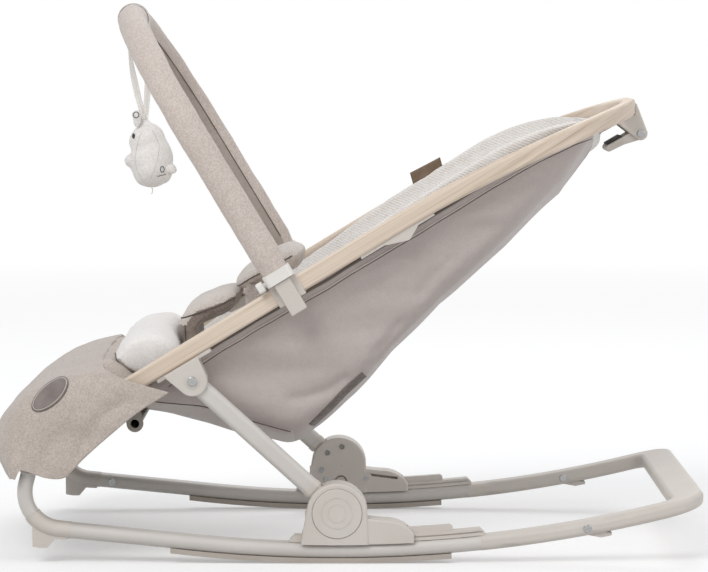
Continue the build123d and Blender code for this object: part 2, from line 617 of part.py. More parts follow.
def button():
    """Round release button with two guide stems and a pair of shallow rings on its face."""
    y_face = -RAIL_Y - HOUSING_W / 2 - BUTTON_PROUD
    disc = pin(HUB_X, HUB_Z, BUTTON_R, y_face, y_face + BUTTON_T + BUTTON_PROUD - GAP)
    disc = fillet(disc.edges().filter_by(GeomType.CIRCLE).sort_by(Axis.Y)[0], 1.0)
    for r in (BUTTON_R * 0.62, BUTTON_R * 0.36):
        ring = pin(HUB_X, HUB_Z, r + 0.4, y_face - 1, y_face + 0.4) - pin(HUB_X, HUB_Z, r - 0.4, y_face - 2, y_face + 1)
        disc -= ring
    for dx, dz in BUTTON_STEMS:
        disc += pin(HUB_X + dx, HUB_Z + dz, STEM_R, y_face + 2, y_face + BUTTON_T + STEM_TRAVEL)
    return disc


def carriage_screws():
    y1 = -RAIL_Y + HOUSING_W / 2
    places = ((-14.0, 15.0), (4.0, 22.5), (-21.5, -6.5), (-16.0, -18.0), (35.0, -17.5))
    small = 0.72
    face = y1 + 1.0
    return [pin(HUB_X + dx, HUB_Z + dz, SCREW_HEAD_R * small, y1, face) - recess(HUB_X + dx, HUB_Z + dz, face, 1, small)
            for dx, dz in places]


# ================================================================ seat frame and what is fixed to it
BEND_PAST = 7.06        # end of the bend beyond the apex of the arch
BEND_CENTRE = on_frame(STRAIGHT, -FRAME_BEND_R)
BEND_REACH = ARCH_X + ARCH_LEN + BEND_PAST - BEND_CENTRE[0]
FRAME_TURN = degrees(asin(BEND_REACH / FRAME_BEND_R)) + FRAME_TILT      # the gentle bend towards the head


def on_bend(turn, n):
    """Point on the frame's gentle bend, turn degrees past the straight run."""
    a = radians(90.0 + FRAME_TILT - turn)
    return (BEND_CENTRE[0] + (FRAME_BEND_R + n) * cos(a), BEND_CENTRE[1] + (FRAME_BEND_R + n) * sin(a))


def frame_height(x):
    """Height of the frame's centre line."""
    if x <= on_frame(STRAIGHT, 0.0)[0]:
        return FRAME_Z + (x - FRAME_X) * sin(FT) / cos(FT)
    return BEND_CENTRE[1] + sqrt(FRAME_BEND_R ** 2 - (x - BEND_CENTRE[0]) ** 2)


def frame_side(lower, upper):
    """Side view band of the seat frame between two offsets from its centre line."""
    top = ThreePointArc(on_bend(0, upper), on_bend(FRAME_TURN / 2, upper), on_bend(FRAME_TURN, upper))
    low = ThreePointArc(on_bend(0, lower), on_bend(FRAME_TURN / 2, lower), on_bend(FRAME_TURN, lower))
    a, b = on_frame(FRAME_START, upper), on_frame(FRAME_START, lower)
    return make_face(top + low + Line(a, top @ 0) + Line(b, low @ 0) + Line(a, b) + Line(top @ 1, low @ 1))


def frame_plan(inset):
    """Plan view of the area inside the frame's outer edge, set in by inset."""
    x0 = FRAME_X + FRAME_START * 2
    half = FRAME_Y + FRAME_W / 2 - inset
    straight = Pos((x0 + ARCH_X) / 2, 0) * Rectangle(ARCH_X - x0, 2 * half)
    arch = Pos(ARCH_X, 0) * Ellipse(ARCH_LEN + FRAME_W / 2 - inset, half)
    return straight + arch


def seat_frame():
    """Wood-grained U: a side band cut to a U in plan, all edges rounded."""
    half = FRAME_Y + FRAME_W
    band_solid = slab(frame_side(-FRAME_D / 2, FRAME_D / 2), -half, half)
    ring = extrude(frame_plan(0.0) - frame_plan(FRAME_W), FRAME_Z * 4)
    body = band_solid & ring
    long_edges = [e for e in body.edges() if e.length > FRAME_D * 2]
    return fillet(long_edges, FRAME_ROUND)


def arm_profile(grow=0.0):
    """Side view of the arm: axle eye, root on the frame, and a lug for the cross bar."""
    wood, root, knee = on_frame(26.0, 0.0), on_frame(-14.0, -1.0), on_frame(4.0, -2.0)
    width = FRAME_D * 0.42 + grow
    main = make_hull((Pos(AXLE_X, AXLE_Z) * Circle(ARM_HEAD_R + grow) + Pos(*root) * Circle(width)).edges())
    upper = make_hull((Pos(*root) * Circle(width) + Pos(*wood) * Circle(width)).edges())
    lug = make_hull((Pos(BAR_X, BAR_Z) * Circle(BAR_R + 3.0 + grow) + Pos(*knee) * Circle(7.0 + grow)).edges())
    return main + upper + lug


def seat_arm():
    """Steel plate from the frame down to the front axle, with a lug for the cross bar."""
    y1 = -FRAME_Y + FRAME_W / 2 + ARM_T
    y0 = y1 - ARM_T
    plate = slab(arm_profile(), y0, y1)
    plate -= pin(AXLE_X, AXLE_Z, AXLE_R + RUN_FIT, y0 - 1, y1 + 1)
    return plate - pin(BAR_X, BAR_Z, BAR_R, y0 - 1, y1 + 1)


def arm_screws():
    y1 = -FRAME_Y + FRAME_W / 2 + ARM_T
    places = (on_frame(0.0, 0.0), on_frame(26.0, 0.0))
    return [screw_head(x, z, y1, 1) for x, z in places]


def front_bar():
    """Cross bar that carries the front edge of the sling."""
    half = FRAME_Y - FRAME_W / 2
    return pin(BAR_X, BAR_Z, BAR_R, -half, half) - pin(BAR_X, BAR_Z, BAR_R - RAIL_WALL, -half - 1, half + 1)


PIVOT_F = (PIVOT_X - FRAME_X) * cos(FT) + (PIVOT_Z - FRAME_Z) * sin(FT)
PIVOT_N = -(PIVOT_X - FRAME_X) * sin(FT) + (PIVOT_Z - FRAME_Z) * cos(FT)


def strut_bracket():
    """Clevis under the frame: a curved strip on the wood and two cheeks round the strut's eye."""
    y0 = -STRUT_Y - STRUT_T / 2 - GAP - BRACKET_CHEEK
    y1 = -FRAME_Y + FRAME_W / 2 - 0.5
    under = -FRAME_D / 2
    strip = frame_box(PIVOT_F - BRACKET_STRIP / 2, PIVOT_F + BRACKET_STRIP / 2, under - BRACKET_T, under)
    body = slab(strip, -FRAME_Y - FRAME_W / 2, y1)
    body = fillet(body.edges().filter_by(Axis.Y).group_by(Axis.Z)[0], 1.5)
    eye = Pos(PIVOT_X, PIVOT_Z) * Circle(BRACKET_R)
    left = Pos(*on_frame(PIVOT_F - BRACKET_R - 6.0, under - 2.0)) * Circle(1.5)
    right = Pos(*on_frame(PIVOT_F + BRACKET_R + 1.0, under - 2.0)) * Circle(1.5)
    cheeks = slab(make_hull((eye + left + right).edges()), y0, y1)
    cheeks = fillet(cheeks.faces().filter_by(Axis.Y).edges(), 1.2)
    room = slab(frame_box(PIVOT_F - 60, PIVOT_F + 60, PIVOT_N - 60, under - BRACKET_T),
                -STRUT_Y - STRUT_T / 2 - GAP, -STRUT_Y + STRUT_T / 2 + GAP)
    boss = pin(PIVOT_X, PIVOT_Z, SCREW_HEAD_R + 3.4, y0 - 1.0, y0 + 1.0)
    bore = pin(PIVOT_X, PIVOT_Z, PIVOT_PIN_R, y0 - 2, y1 + 2)
    wood = slab(frame_side(-FRAME_D / 2, FRAME_D / 2), -FRAME_Y - FRAME_W, -FRAME_Y + FRAME_W)
    return (body + cheeks + boss) - wood - room - bore


def pivot_rivet():
    y0 = -STRUT_Y - STRUT_T / 2 - GAP - BRACKET_CHEEK - 1.0
    y1 = -FRAME_Y + FRAME_W / 2 - 0.5
    shank = pin(PIVOT_X, PIVOT_Z, PIVOT_PIN_R, y0, y1)
    head = pin(PIVOT_X, PIVOT_Z, SCREW_HEAD_R + 1.0, y0 - 1.8, y0)
    head = fillet(head.edges().filter_by(GeomType.CIRCLE).sort_by(Axis.Y)[0], 1.2)
    return shank + head - recess(PIVOT_X, PIVOT_Z, y0 - 1.8, -1)


def toy_bar_socket():
    """Sleeve round the frame with an open-topped pocket block on its outer face."""
    f0, f1 = SOCKET_F - SOCKET_L / 2, SOCKET_F + SOCKET_L / 2
    half_n = FRAME_D / 2 + SOCKET_WALL
    y_in = -FRAME_Y + FRAME_W / 2 + SOCKET_WALL
    y_out = -FRAME_Y - FRAME_W / 2 - SOCKET_WALL
    sleeve = slab(frame_box(f0, f1, -half_n, half_n), y_out, y_in)
    sleeve = fillet(sleeve.edges(), 1.2)
    b0, b1 = SOCKET_F - BLOCK_W / 2, SOCKET_F + BLOCK_W / 2
    block = slab(frame_box(b0, b1, -BLOCK_DROP, half_n), y_out - BLOCK_T + SOCKET_WALL, y_out + 1.0)
    block = fillet(block.edges(), 1.5)
    wood = slab(frame_box(f0 - 1, f1 + 1, -FRAME_D / 2, FRAME_D / 2), -FRAME_Y - FRAME_W / 2,
                -FRAME_Y + FRAME_W / 2)
    return sleeve + block - wood - tongue(GAP, half_n + 1.0)


def tongue(grow, top):
    """Toy bar tongue, or with grow its pocket."""
    y = -FRAME_Y - FRAME_W / 2 - BLOCK_T / 2 - 0.5
    half_f, half_y = TONGUE_W / 2 + grow, TONGUE_T / 2 + grow
    low = FRAME_D / 2 + SOCKET_WALL - TONGUE_DEPTH - grow
    return slab(frame_box(SOCKET_F - half_f, SOCKET_F + half_f, low, top), y - half_y, y + half_y)


def sling_clip():
    """Plastic strip under the frame with a rounded tab that grips the sling's hem."""
    top = -FRAME_D / 2
    y1 = -FRAME_Y + 4.0
    y0 = -FRAME_Y - 5.0
    strip = slab(frame_box(CLIP_F - CLIP_L / 2, CLIP_F + CLIP_L / 2, top - CLIP_T, top), y0, y1)
    ear = Pos(*on_frame(CLIP_F + 9.0, top - CLIP_TAB + 5.0)) * Circle(5.0)
    left = Pos(*on_frame(CLIP_F - 18.0, top - 1.5)) * Circle(1.5)
    right = Pos(*on_frame(CLIP_F + 26.0, top - 1.5)) * Circle(1.5)
    wood = slab(frame_side(-FRAME_D / 2, FRAME_D / 2), -FRAME_Y - FRAME_W, -FRAME_Y + FRAME_W)
    return strip + slab(make_hull((ear + left + right).edges()), y0, y0 + CLIP_T) - wood


APEX_X = ARCH_X + ARCH_LEN
APEX_Z = on_bend(FRAME_TURN * 0.92, 0.0)[1]
HEAD_X = APEX_X + HEAD_AHEAD
HEAD_Z = APEX_Z - HEAD_BELOW


def head_bracket():
    """Saddle on the frame's apex with two cheeks that carry the lever's pin."""
    half = HEAD_W / 2
    outer = make_hull((Pos(HEAD_X, HEAD_Z) * Circle(8.0) + Pos(APEX_X + 5.5, APEX_Z + 8.0) * Circle(3.0)
                       + Pos(APEX_X - 12.0, APEX_Z - FRAME_D / 2 - 3.0) * Circle(2.0)).edges())
    body = slab(outer, -half, half)
    ends = [e for e in body.faces().filter_by(Axis.Y).edges()]
    body = fillet(ends, 2.0)
    room = slab(outer, -half + HEAD_CHEEK, half - HEAD_CHEEK) & slab(
        Pos(HEAD_X - 14.0, HEAD_Z - 4.0) * Rectangle(70.0, 34.0), -half, half)
    frame = extrude(frame_plan(-0.2) - frame_plan(FRAME_W + 0.2), FRAME_Z * 4) & slab(
        frame_side(-FRAME_D / 2 - 0.2, FRAME_D / 2 + 0.2), -FRAME_Y, FRAME_Y)
    bore = pin(HEAD_X, HEAD_Z, HEAD_PIN_R, -half - 1, half + 1)
    return body - room - frame - bore


def head_pin():
    half = HEAD_W / 2
    rod = pin(HEAD_X, HEAD_Z, HEAD_PIN_R, -half, half)
    return rod + screw_head(HEAD_X, HEAD_Z, -half, -1) + screw_head(HEAD_X, HEAD_Z, half, 1)


def head_lever():
    half = HEAD_W / 2 - HEAD_CHEEK - GAP
    tip = (HEAD_X - LEVER_L + 5.0, HEAD_Z - 17.5)
    knee = (HEAD_X - LEVER_L * 0.5, HEAD_Z - 9.0)
    shape = make_hull((Pos(HEAD_X, HEAD_Z) * Circle(7.0) + Pos(*knee) * Circle(LEVER_T / 2)).edges())
    blade = make_hull((Pos(*knee) * Circle(LEVER_T / 2) + Pos(*tip) * Circle(LEVER_T / 2 - 0.5)).edges())
    body = slab(shape + blade, -half, half)
    body = fillet(body.faces().filter_by(Axis.Y).edges(), 1.2)
    return body - pin(HEAD_X, HEAD_Z, HEAD_PIN_R + RUN_FIT, -half - 1, half + 1)


def lever_grip():
    """Soft pad on the lever's upper face near its tip."""
    half = HEAD_W / 2 - HEAD_CHEEK - 3.0
    tip = (HEAD_X - LEVER_L + 4.0, HEAD_Z - 17.5 + LEVER_T / 2 + 0.3)
    knee = (HEAD_X - LEVER_L * 0.5 - 2.0, HEAD_Z - 9.0 + LEVER_T / 2 + 0.6)
    pad = slab(make_hull((Pos(*tip) * Circle(1.4) + Pos(*knee) * Circle(1.4)).edges()), -half, half)
    return pad - head_lever()


# ================================================================ toy bar
BAR_PLANE = Plane(origin=(on_frame(SOCKET_F, 0)[0], 0, on_frame(SOCKET_F, 0)[1]), x_dir=(0, 1, 0),
                  z_dir=(cos(FT), 0, sin(FT)))


def bar_path(start):
    """Arch square to the frame; first coordinate is Y, second is height above the frame."""
    left = Line((-BAR_Y, start), (-BAR_Y, BAR_STRAIGHT))
    arch = EllipticalCenterArc((0, BAR_STRAIGHT), BAR_Y, BAR_APEX - BAR_STRAIGHT, 180, arc_size=-180)
    right = Line((BAR_Y, BAR_STRAIGHT), (BAR_Y, start))
    return BAR_PLANE * (left + arch + right)


def bar_run(section, start):
    path = bar_path(start)
    begin = Plane(origin=path @ 0, x_dir=(0, 1, 0), z_dir=path % 0)
    return sweep(begin * section, path=path)


def toy_bar_core():
    return bar_run(Circle(CORE_R), END_TOP - 6.0)


def toy_bar_sleeve():
    """Padded knit sleeve over the core, an oval tube with rounded lower ends."""
    section = Ellipse(SLEEVE_T / 2, SLEEVE_D / 2) - Circle(CORE_R + SEAT_GAP)
    return bar_run(section, END_TOP)


def toy_bar_end():
    """Moulded foot of the left leg: cuff, socket for the core, tongue and tab slot."""
    cuff_plane = Plane(origin=Vector(*at_bar(0, -BAR_Y, END_FOOT)), x_dir=(0, 1, 0), z_dir=BAR_UP)
    cuff = extrude(cuff_plane * RectangleRounded(SLEEVE_T, SLEEVE_D + 1.0, 6.0), END_TOP - END_FOOT)
    body = cuff + tongue(0.0, END_FOOT + 1.0)
    core = extrude(Plane(origin=Vector(*at_bar(0, -BAR_Y, END_TOP - 6.0)), x_dir=(0, 1, 0), z_dir=BAR_UP)
                   * Circle(CORE_R), 20.0)
    return body - core - tab_stem(RUN_FIT, TAB_TRAVEL + 0.5)


BAR_UP = Vector(-sin(FT), 0, cos(FT))
BAR_ALONG = Vector(cos(FT), 0, sin(FT))
TAB_N = 18.5
STEM_F = SLEEVE_D / 2 + 0.5


def at_bar(f, y, n):
    """Point f along the frame from the arch's plane, at y, and n above the frame."""
    x, z = on_frame(SOCKET_F + f, n)
    return (x, y, z)


def tab_stem(grow, extra):
    origin = Vector(*at_bar(-STEM_F - 3.0, -BAR_Y, TAB_N))
    plane = Plane(origin=origin, x_dir=(0, 1, 0), z_dir=BAR_ALONG)
    return extrude(plane * Circle(TAB_STEM_R + grow), 9.0 + extra)


def release_tab():
    """Push tab on the front of the cuff, with a stem that slides in it."""
    thick = 8.0
    origin = Vector(*at_bar(-STEM_F - 3.0 - thick, -BAR_Y, TAB_N))
    plane = Plane(origin=origin, x_dir=(0, 1, 0), z_dir=BAR_ALONG)
    knob = extrude(plane * RectangleRounded(TAB_SIZE + 2.0, TAB_SIZE, 3.0), thick)
    return fillet(knob.faces().sort_by(Axis.X)[0].edges(), 1.5) + tab_stem(0.0, 0.0)


# ================================================================ toy
TOY_X, TOY_Z = on_frame(SOCKET_F, BAR_APEX)
LOOP_R = SLEEVE_D / 2 + 0.35
TOY_TOP = (TOY_X + 14.5, TOY_Z - 126.0)
TOY_C = (TOY_X + 16.0, TOY_Z - 160.0)


def toy_ribbon():
    """Ribbon looped over the bar and drawn together above the toy."""
    half = RIBBON_W / 2
    loop = pin(TOY_X, TOY_Z, LOOP_R + RIBBON_T, -half, half) - pin(TOY_X, TOY_Z, LOOP_R, -half - 1, half + 1)
    body = loop
    for side_x in (-1, 1):
        start = (TOY_X + side_x * (LOOP_R + RIBBON_T / 2), TOY_Z - 2.0)
        body += slab(make_hull((Pos(*start) * Circle(RIBBON_T / 2) + Pos(*TOY_TOP) * Circle(RIBBON_T / 2)).edges()),
                     -half, half) - pin(TOY_X, TOY_Z, LOOP_R, -half - 1, half + 1)
    return body


def toy_body():
    """Stuffed head with two ears, a snout and a small body under it."""
    head = Pos(TOY_C[0], 0, TOY_C[1] + 8.0) * scale(Sphere(1.0), by=(26.0, 24.0, 27.0))
    trunk = Pos(TOY_C[0] + 3.0, 0, TOY_C[1] - 16.0) * scale(Sphere(1.0), by=(21.0, 20.0, 24.0))
    snout = Pos(TOY_C[0] - 21.0, 0, TOY_C[1] + 2.0) * Sphere(9.0)
    body = head + trunk + snout
    for y in (-13.0, 13.0):
        body += Pos(TOY_C[0] - 6.0, y, TOY_C[1] + 34.0) * scale(Sphere(1.0), by=(5.0, 7.0, 8.0))
    return body - toy_ribbon()


# ================================================================ soft goods on the seat
def blob(points, radii):
    """Rounded outline: the hulls of consecutive circles, joined."""
    out = None
    for (a, ra), (b, rb) in zip(zip(points, radii), zip(points[1:], radii[1:])):
        piece = make_hull((Pos(*a) * Circle(ra) + Pos(*b) * Circle(rb)).edges())
        out = piece if out is None else out + piece
    return out


def leg_rest():
    """Padded foot end: convex front, raised shoulders round the frame, open underneath."""
    half = LEG_Y
    front = ThreePointArc((LEG_SIDE_X, -LEG_FRONT_Y), (LEG_FRONT_X, 0), (LEG_SIDE_X, LEG_FRONT_Y))
    plan = make_face(front + Line((LEG_SIDE_X, LEG_FRONT_Y), (LEG_WAIST_X - 60, half))
                     + Line((LEG_WAIST_X - 60, half), (LEG_WAIST_X, LEG_WAIST_Y))
                     + Line((LEG_WAIST_X, LEG_WAIST_Y), (LEG_END_X, LEG_WAIST_Y))
                     + Line((LEG_END_X, LEG_WAIST_Y), (LEG_END_X, -LEG_WAIST_Y))
                     + Line((LEG_END_X, -LEG_WAIST_Y), (LEG_WAIST_X, -LEG_WAIST_Y))
                     + Line((LEG_WAIST_X, -LEG_WAIST_Y), (LEG_WAIST_X - 60, -half))
                     + Line((LEG_WAIST_X - 60, -half), (LEG_SIDE_X, -LEG_FRONT_Y)))
    middle = slab(smooth_outline(LEG_MIDDLE, 5.0), -POCKET_Y0, POCKET_Y0)
    shoulder = slab(smooth_outline(LEG_SHOULDER, 3.0), -half, -POCKET_Y0 + 1)
    body = middle + shoulder + mirror(shoulder, about=Plane.XZ)
    body = body & extrude(plan, FRAME_Z * 2)
    pocket = slab(smooth_outline(LEG_POCKET, 2.0), -POCKET_Y1, -POCKET_Y0 + 2)
    pocket = pocket & extrude(offset(plan, amount=POCKET_Y1 - LEG_Y), FRAME_Z * 2)
    axle = pin(AXLE_X, AXLE_Z, AXLE_R + 3.0, -POCKET_Y1, POCKET_Y1)
    slot = slab(Pos(AXLE_X, AXLE_Z - 30) * Rectangle(2 * AXLE_R + 6, 60), -POCKET_Y0 - 1, POCKET_Y0 + 1)
    wood = slab(frame_box(FRAME_START - 4, 200, -FRAME_D / 2 - SEAT_GAP, FRAME_D / 2 + SEAT_GAP),
                -FRAME_Y - FRAME_W / 2 - SEAT_GAP, -POCKET_Y0 + 1)
    bar = pin(BAR_X, BAR_Z, BAR_R + SEAT_GAP, -FRAME_Y, FRAME_Y)
    arm = slab(arm_profile(SEAT_GAP), -FRAME_Y + FRAME_W / 2, -POCKET_Y0 + 1)
    bag = bag_body(SEAT_GAP)
    cuts = pocket + wood + arm + bag
    return body - cuts - mirror(cuts, about=Plane.XZ) - axle - slot - bar


def smooth_outline(points, r):
    face = make_face(Polyline(*points, close=True))
    return fillet(face.vertices(), r)


def leg_badge():
    """Bare oval patch on the near shoulder."""
    place = Pos(-333.0, 189.0) * Rot(0, 0, 37.0)
    return slab(place * Ellipse(26.0, 14.0), -LEG_Y - 1.6, -LEG_Y)


BAG_ARCH = ARCH_LEN - FRAME_Y + SLING_Y
BAG_ROWS = BAG_RUN + tuple((ARCH_X + share * BAG_ARCH, *rest) for share, *rest in BAG_HEAD)
BAG = tuple((x, *(frame_height(x) + up for up in rest)) for x, *rest in BAG_ROWS)


def bag_half(x):
    """Half width of the bag at x, drawn in round the head arch."""
    if x <= ARCH_X:
        return SLING_Y
    return SLING_Y * sqrt(1 - ((x - ARCH_X) / BAG_ARCH) ** 2)


def bag_trough(station, top, inset):
    """Open line down one side of the bag, over its sagging floor and up the other side."""
    x, rim, low, keel, _ = station
    half = bag_half(x) - inset
    r = max(min(BAG_CORNER, 0.45 * (rim - low)) - 0.3 * inset, 1.0)
    k = r * (1 - sqrt(0.5))
    low = low + inset
    return (Line((-half, top), (-half, low + r))
            + ThreePointArc((-half, low + r), (-half + k, low + k), (-half + r, low))
            + ThreePointArc((-half + r, low), (0, keel + inset), (half - r, low))
            + ThreePointArc((half - r, low), (half - k, low + k), (half, low + r)) + Line((half, low + r), (half, top)))


def bag_plane(x):
    return Plane(origin=(x, 0, 0), x_dir=(0, 1, 0), z_dir=(1, 0, 0))


def bag_wall(station, top, near, far):
    """Section of a wall that runs from inset near to inset far."""
    a, b = bag_half(station[0]) - near, bag_half(station[0]) - far
    edges = (bag_trough(station, top, near) + bag_trough(station, top, far)
             + Line((-a, top), (-b, top)) + Line((a, top), (b, top)))
    return bag_plane(station[0]) * make_face(edges)


def bag_full(station, top, inset):
    half = bag_half(station[0]) - inset
    return bag_plane(station[0]) * make_face(bag_trough(station, top, inset) + Line((-half, top), (half, top)))


def bag_body(grow):
    """The whole bag as one solid, for cutting its neighbours."""
    return loft([bag_full(st, st[1], -grow) for st in BAG], ruled=True)


def bag_shell(stations, tops, near, thick):
    """Walls and floor of that thickness, closed at the foot and at the head."""
    walls = loft([bag_wall(st, top, near, near + thick) for st, top in zip(stations, tops)], ruled=True)
    whole = loft([bag_full(st, top, near) for st, top in zip(stations, tops)], ruled=True)
    x0, x1 = stations[0][0], stations[-1][0]
    foot = Pos(x0 + thick / 2, 0, 0) * Box(thick, 3 * SLING_Y, 6 * FRAME_Z)
    head = Pos(x1 - thick / 2, 0, 0) * Box(thick, 3 * SLING_Y, 6 * FRAME_Z)
    return walls + (whole & foot) + (whole & head)


def sling():
    """Fabric bag under the seat, open at the top."""
    return bag_shell(BAG, [st[1] for st in BAG], 0.0, SLING_T)


def seat_liner():
    """Padded insert that lines the sling, with side wings above the frame."""
    near = SLING_T + LINER_GAP
    stations = [(BAG[0][0] + near,) + BAG[0][1:]] + list(BAG[1:-1])
    return bag_shell(stations, [st[4] for st in stations], near, LINER_T)


def front_cushion():
    """White front lobe of the insert, between the leg rest and the harness."""
    lobe = blob(CUSHION, CUSHION_R) - offset(smooth_outline(LEG_MIDDLE, 5.0), amount=SEAT_GAP)
    return slab(lobe, -CUSHION_Y, CUSHION_Y)


def crotch_pad():
    return slab(blob(CROTCH, CROTCH_R), -PAD_Y, PAD_Y)


def waist_pad():
    return slab(blob(WAIST, WAIST_R), -PAD_Y, PAD_Y)


def buckle():
    body = slab(blob(BUCKLE, (BUCKLE_R, BUCKLE_R)), -BUCKLE_Y, BUCKLE_Y)
    return fillet(body.faces().filter_by(Axis.Y).edges(), 1.5)


def harness_strap():
    """Webbing from the waist pad down to the left side of the seat."""
    run = Plane(origin=(STRAP[0], -PAD_Y - 1.0, STRAP[1]), x_dir=(1, 0, 0), z_dir=(0, -1, -0.35))
    return extrude(run * Rectangle(STRAP_W, STRAP_T), STRAP_L)


def liner_tag():
    """Folded leather loop on the far wing."""
    y = SLING_Y - SLING_T - LINER_GAP
    face = make_face(Polyline((79.0, 423.0), (84.0, 413.0), (121.0, 436.0), (113.0, 443.0), close=True))
    return slab(face, y + 0.2, y + 3.2)


# ================================================================ nodes
def mirrored(shape):
    return mirror(shape, about=Plane.XZ)


def sides(name, left):
    return {name + "_left": left, name + "_right": mirrored(left)}


def two_sided(name, left):
    """One node that holds the left pieces and their mirror images."""
    return {name: solid_list(left, mirrored(left))}


def base_nodes():
    rear = rear_frame() + rear_plugs()
    out = {"rear_frame": rear + mirrored(rear_plugs()), "front_axle": front_axle()}
    out |= sides("rocker_tube", rocker_tube())
    out |= sides("front_elbow", front_elbow())
    out |= sides("front_tube", front_tube())
    out |= sides("rocking_strip", rocking_strip())
    out |= sides("slide_track", slide_track())
    return out | two_sided("base_screws", solid_list(stand_pin(), elbow_screw()))


def linkage_nodes():
    out = sides("strut_tube", strut_tube()) | sides("strut_hub", strut_hub()) | sides("carriage", carriage())
    out |= two_sided("hub_covers", hub_cover()) | two_sided("lock_plates", lock_plate())
    out |= two_sided("hub_pins", hub_pin()) | two_sided("lock_pins", lock_pin())
    out |= two_sided("carriage_screws", solid_list(*carriage_screws()))
    return out | sides("button", button()) | sides("stand", stand())


def seat_nodes():
    out = {"seat_frame": seat_frame(), "front_bar": front_bar(), "head_bracket": head_bracket(),
           "head_lever": head_lever(), "lever_grip": lever_grip()}
    out |= sides("seat_arm", seat_arm()) | sides("strut_bracket", strut_bracket())
    arm_heads = solid_list(*arm_screws())
    out |= two_sided("pivot_rivets", pivot_rivet())
    out["seat_screws"] = solid_list(head_pin(), arm_heads, mirrored(arm_heads))
    return out | sides("toy_bar_socket", toy_bar_socket()) | two_sided("sling_clips", sling_clip())


def toy_bar_nodes():
    out = {"toy_bar_core": toy_bar_core(), "toy_bar_sleeve": toy_bar_sleeve(), "toy_ribbon": toy_ribbon(),
           "toy_body": toy_body()}
    return out | sides("toy_bar_end", toy_bar_end()) | sides("release_tab", release_tab())


def soft_nodes():
    return {"leg_rest": leg_rest(), "leg_badge": leg_badge(), "sling": sling(), "seat_liner": seat_liner(),
            "front_cushion": front_cushion(), "crotch_pad": crotch_pad(), "waist_pad": waist_pad(),
            "buckle": buckle(), "liner_tag": liner_tag()} | two_sided("harness_straps", harness_strap())


def main():
    os.makedirs("parts", exist_ok=True)
    for name, shape in (base_nodes() | linkage_nodes() | seat_nodes() | toy_bar_nodes() | soft_nodes()).items():
        shape.label = name
        export_step(shape, f"parts/{name}.step")


if __name__ == "__main__":
    main()
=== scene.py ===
import bpy
import math
from math import cos, sin, pi, radians, sqrt
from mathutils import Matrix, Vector, noise


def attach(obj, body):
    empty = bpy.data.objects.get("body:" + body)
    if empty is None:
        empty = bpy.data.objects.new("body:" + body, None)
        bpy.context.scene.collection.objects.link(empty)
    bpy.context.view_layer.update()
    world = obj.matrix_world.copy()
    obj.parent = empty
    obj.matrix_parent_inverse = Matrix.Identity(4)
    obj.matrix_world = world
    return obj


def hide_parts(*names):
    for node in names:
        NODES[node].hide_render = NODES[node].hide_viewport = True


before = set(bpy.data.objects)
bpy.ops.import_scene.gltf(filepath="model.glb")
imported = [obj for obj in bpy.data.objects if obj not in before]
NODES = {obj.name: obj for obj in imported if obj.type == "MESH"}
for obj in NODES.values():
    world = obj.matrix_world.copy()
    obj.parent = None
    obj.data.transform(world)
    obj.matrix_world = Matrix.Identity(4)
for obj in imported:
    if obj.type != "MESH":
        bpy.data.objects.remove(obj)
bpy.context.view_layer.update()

LEFT, RIGHT = -1, 1             # sides of the object along Y; the left one is nearer the camera

TILT = radians(31.2)            # the seat frame's straight run
FRAME_FOOT = (-250.0, 194.0)    # X and Z where that run starts; lengths of the object are in millimetres
ARCH_START = 170.0              # X where the frame starts to draw in to the head arch
ARCH_REACH = 149.0              # from there to the tip of the sling
SLING_HALF = 189.0              # half width of the sling between the frame's bars
BAR_ALONG = 217.0               # how far along the frame the toy bar stands
BAR_FOOT = 27.0                 # toy bar sleeve's lower end above the frame
BAR_SHOULDER = 190.0            # where the toy bar starts to bend
BAR_TOP = 358.0                 # top of its arch
BAR_HALF = 216.0                # half width of its arch
BAR_ARC = 620.0                 # length round its arch


# ---------------------------------------------------------------- camera, floor and light
def camera():
    """Long lens, level with the head arch and looking a little down."""
    data = bpy.data.cameras.new("camera")
    data.lens = 170.14
    data.sensor_width = 36.0
    data.clip_end = 60.0
    cam = bpy.data.objects.new("camera", data)
    cam.location = (0.0105, -3.97, 0.58478)
    looks_down = 4.154
    cam.rotation_euler = (radians(90.0 - looks_down), 0.0, 0.0)
    bpy.context.scene.collection.objects.link(cam)
    bpy.context.scene.camera = cam


def deselect():
    """Nothing selected, in object mode: what every operator starts from."""
    if bpy.context.object and bpy.context.object.mode != "OBJECT":
        bpy.ops.object.mode_set(mode="OBJECT")
    bpy.ops.object.select_all(action="DESELECT")


def rgb(code):
    """sRGB hex colour to linear."""
    parts = [int(code[i:i + 2], 16) / 255 for i in (1, 3, 5)]
    return [c / 12.92 if c <= 0.04045 else ((c + 0.055) / 1.055) ** 2.4 for c in parts] + [1.0]


def add(tree, kind, values=None, links=None, **settings):
    """Adds one shader node with its settings, socket values and incoming links."""
    made = tree.nodes.new("ShaderNode" + kind)
    for key, value in settings.items():
        setattr(made, key, value)
    for key, value in (values or {}).items():
        made.inputs[key].default_value = value
    for key, source in (links or {}).items():
        tree.links.new(source, made.inputs[key])
    return made


def blank(name):
    """A new material with an empty node tree."""
    made = bpy.data.materials.new(name)
    made.use_nodes = True
    made.node_tree.nodes.clear()
    return made, made.node_tree


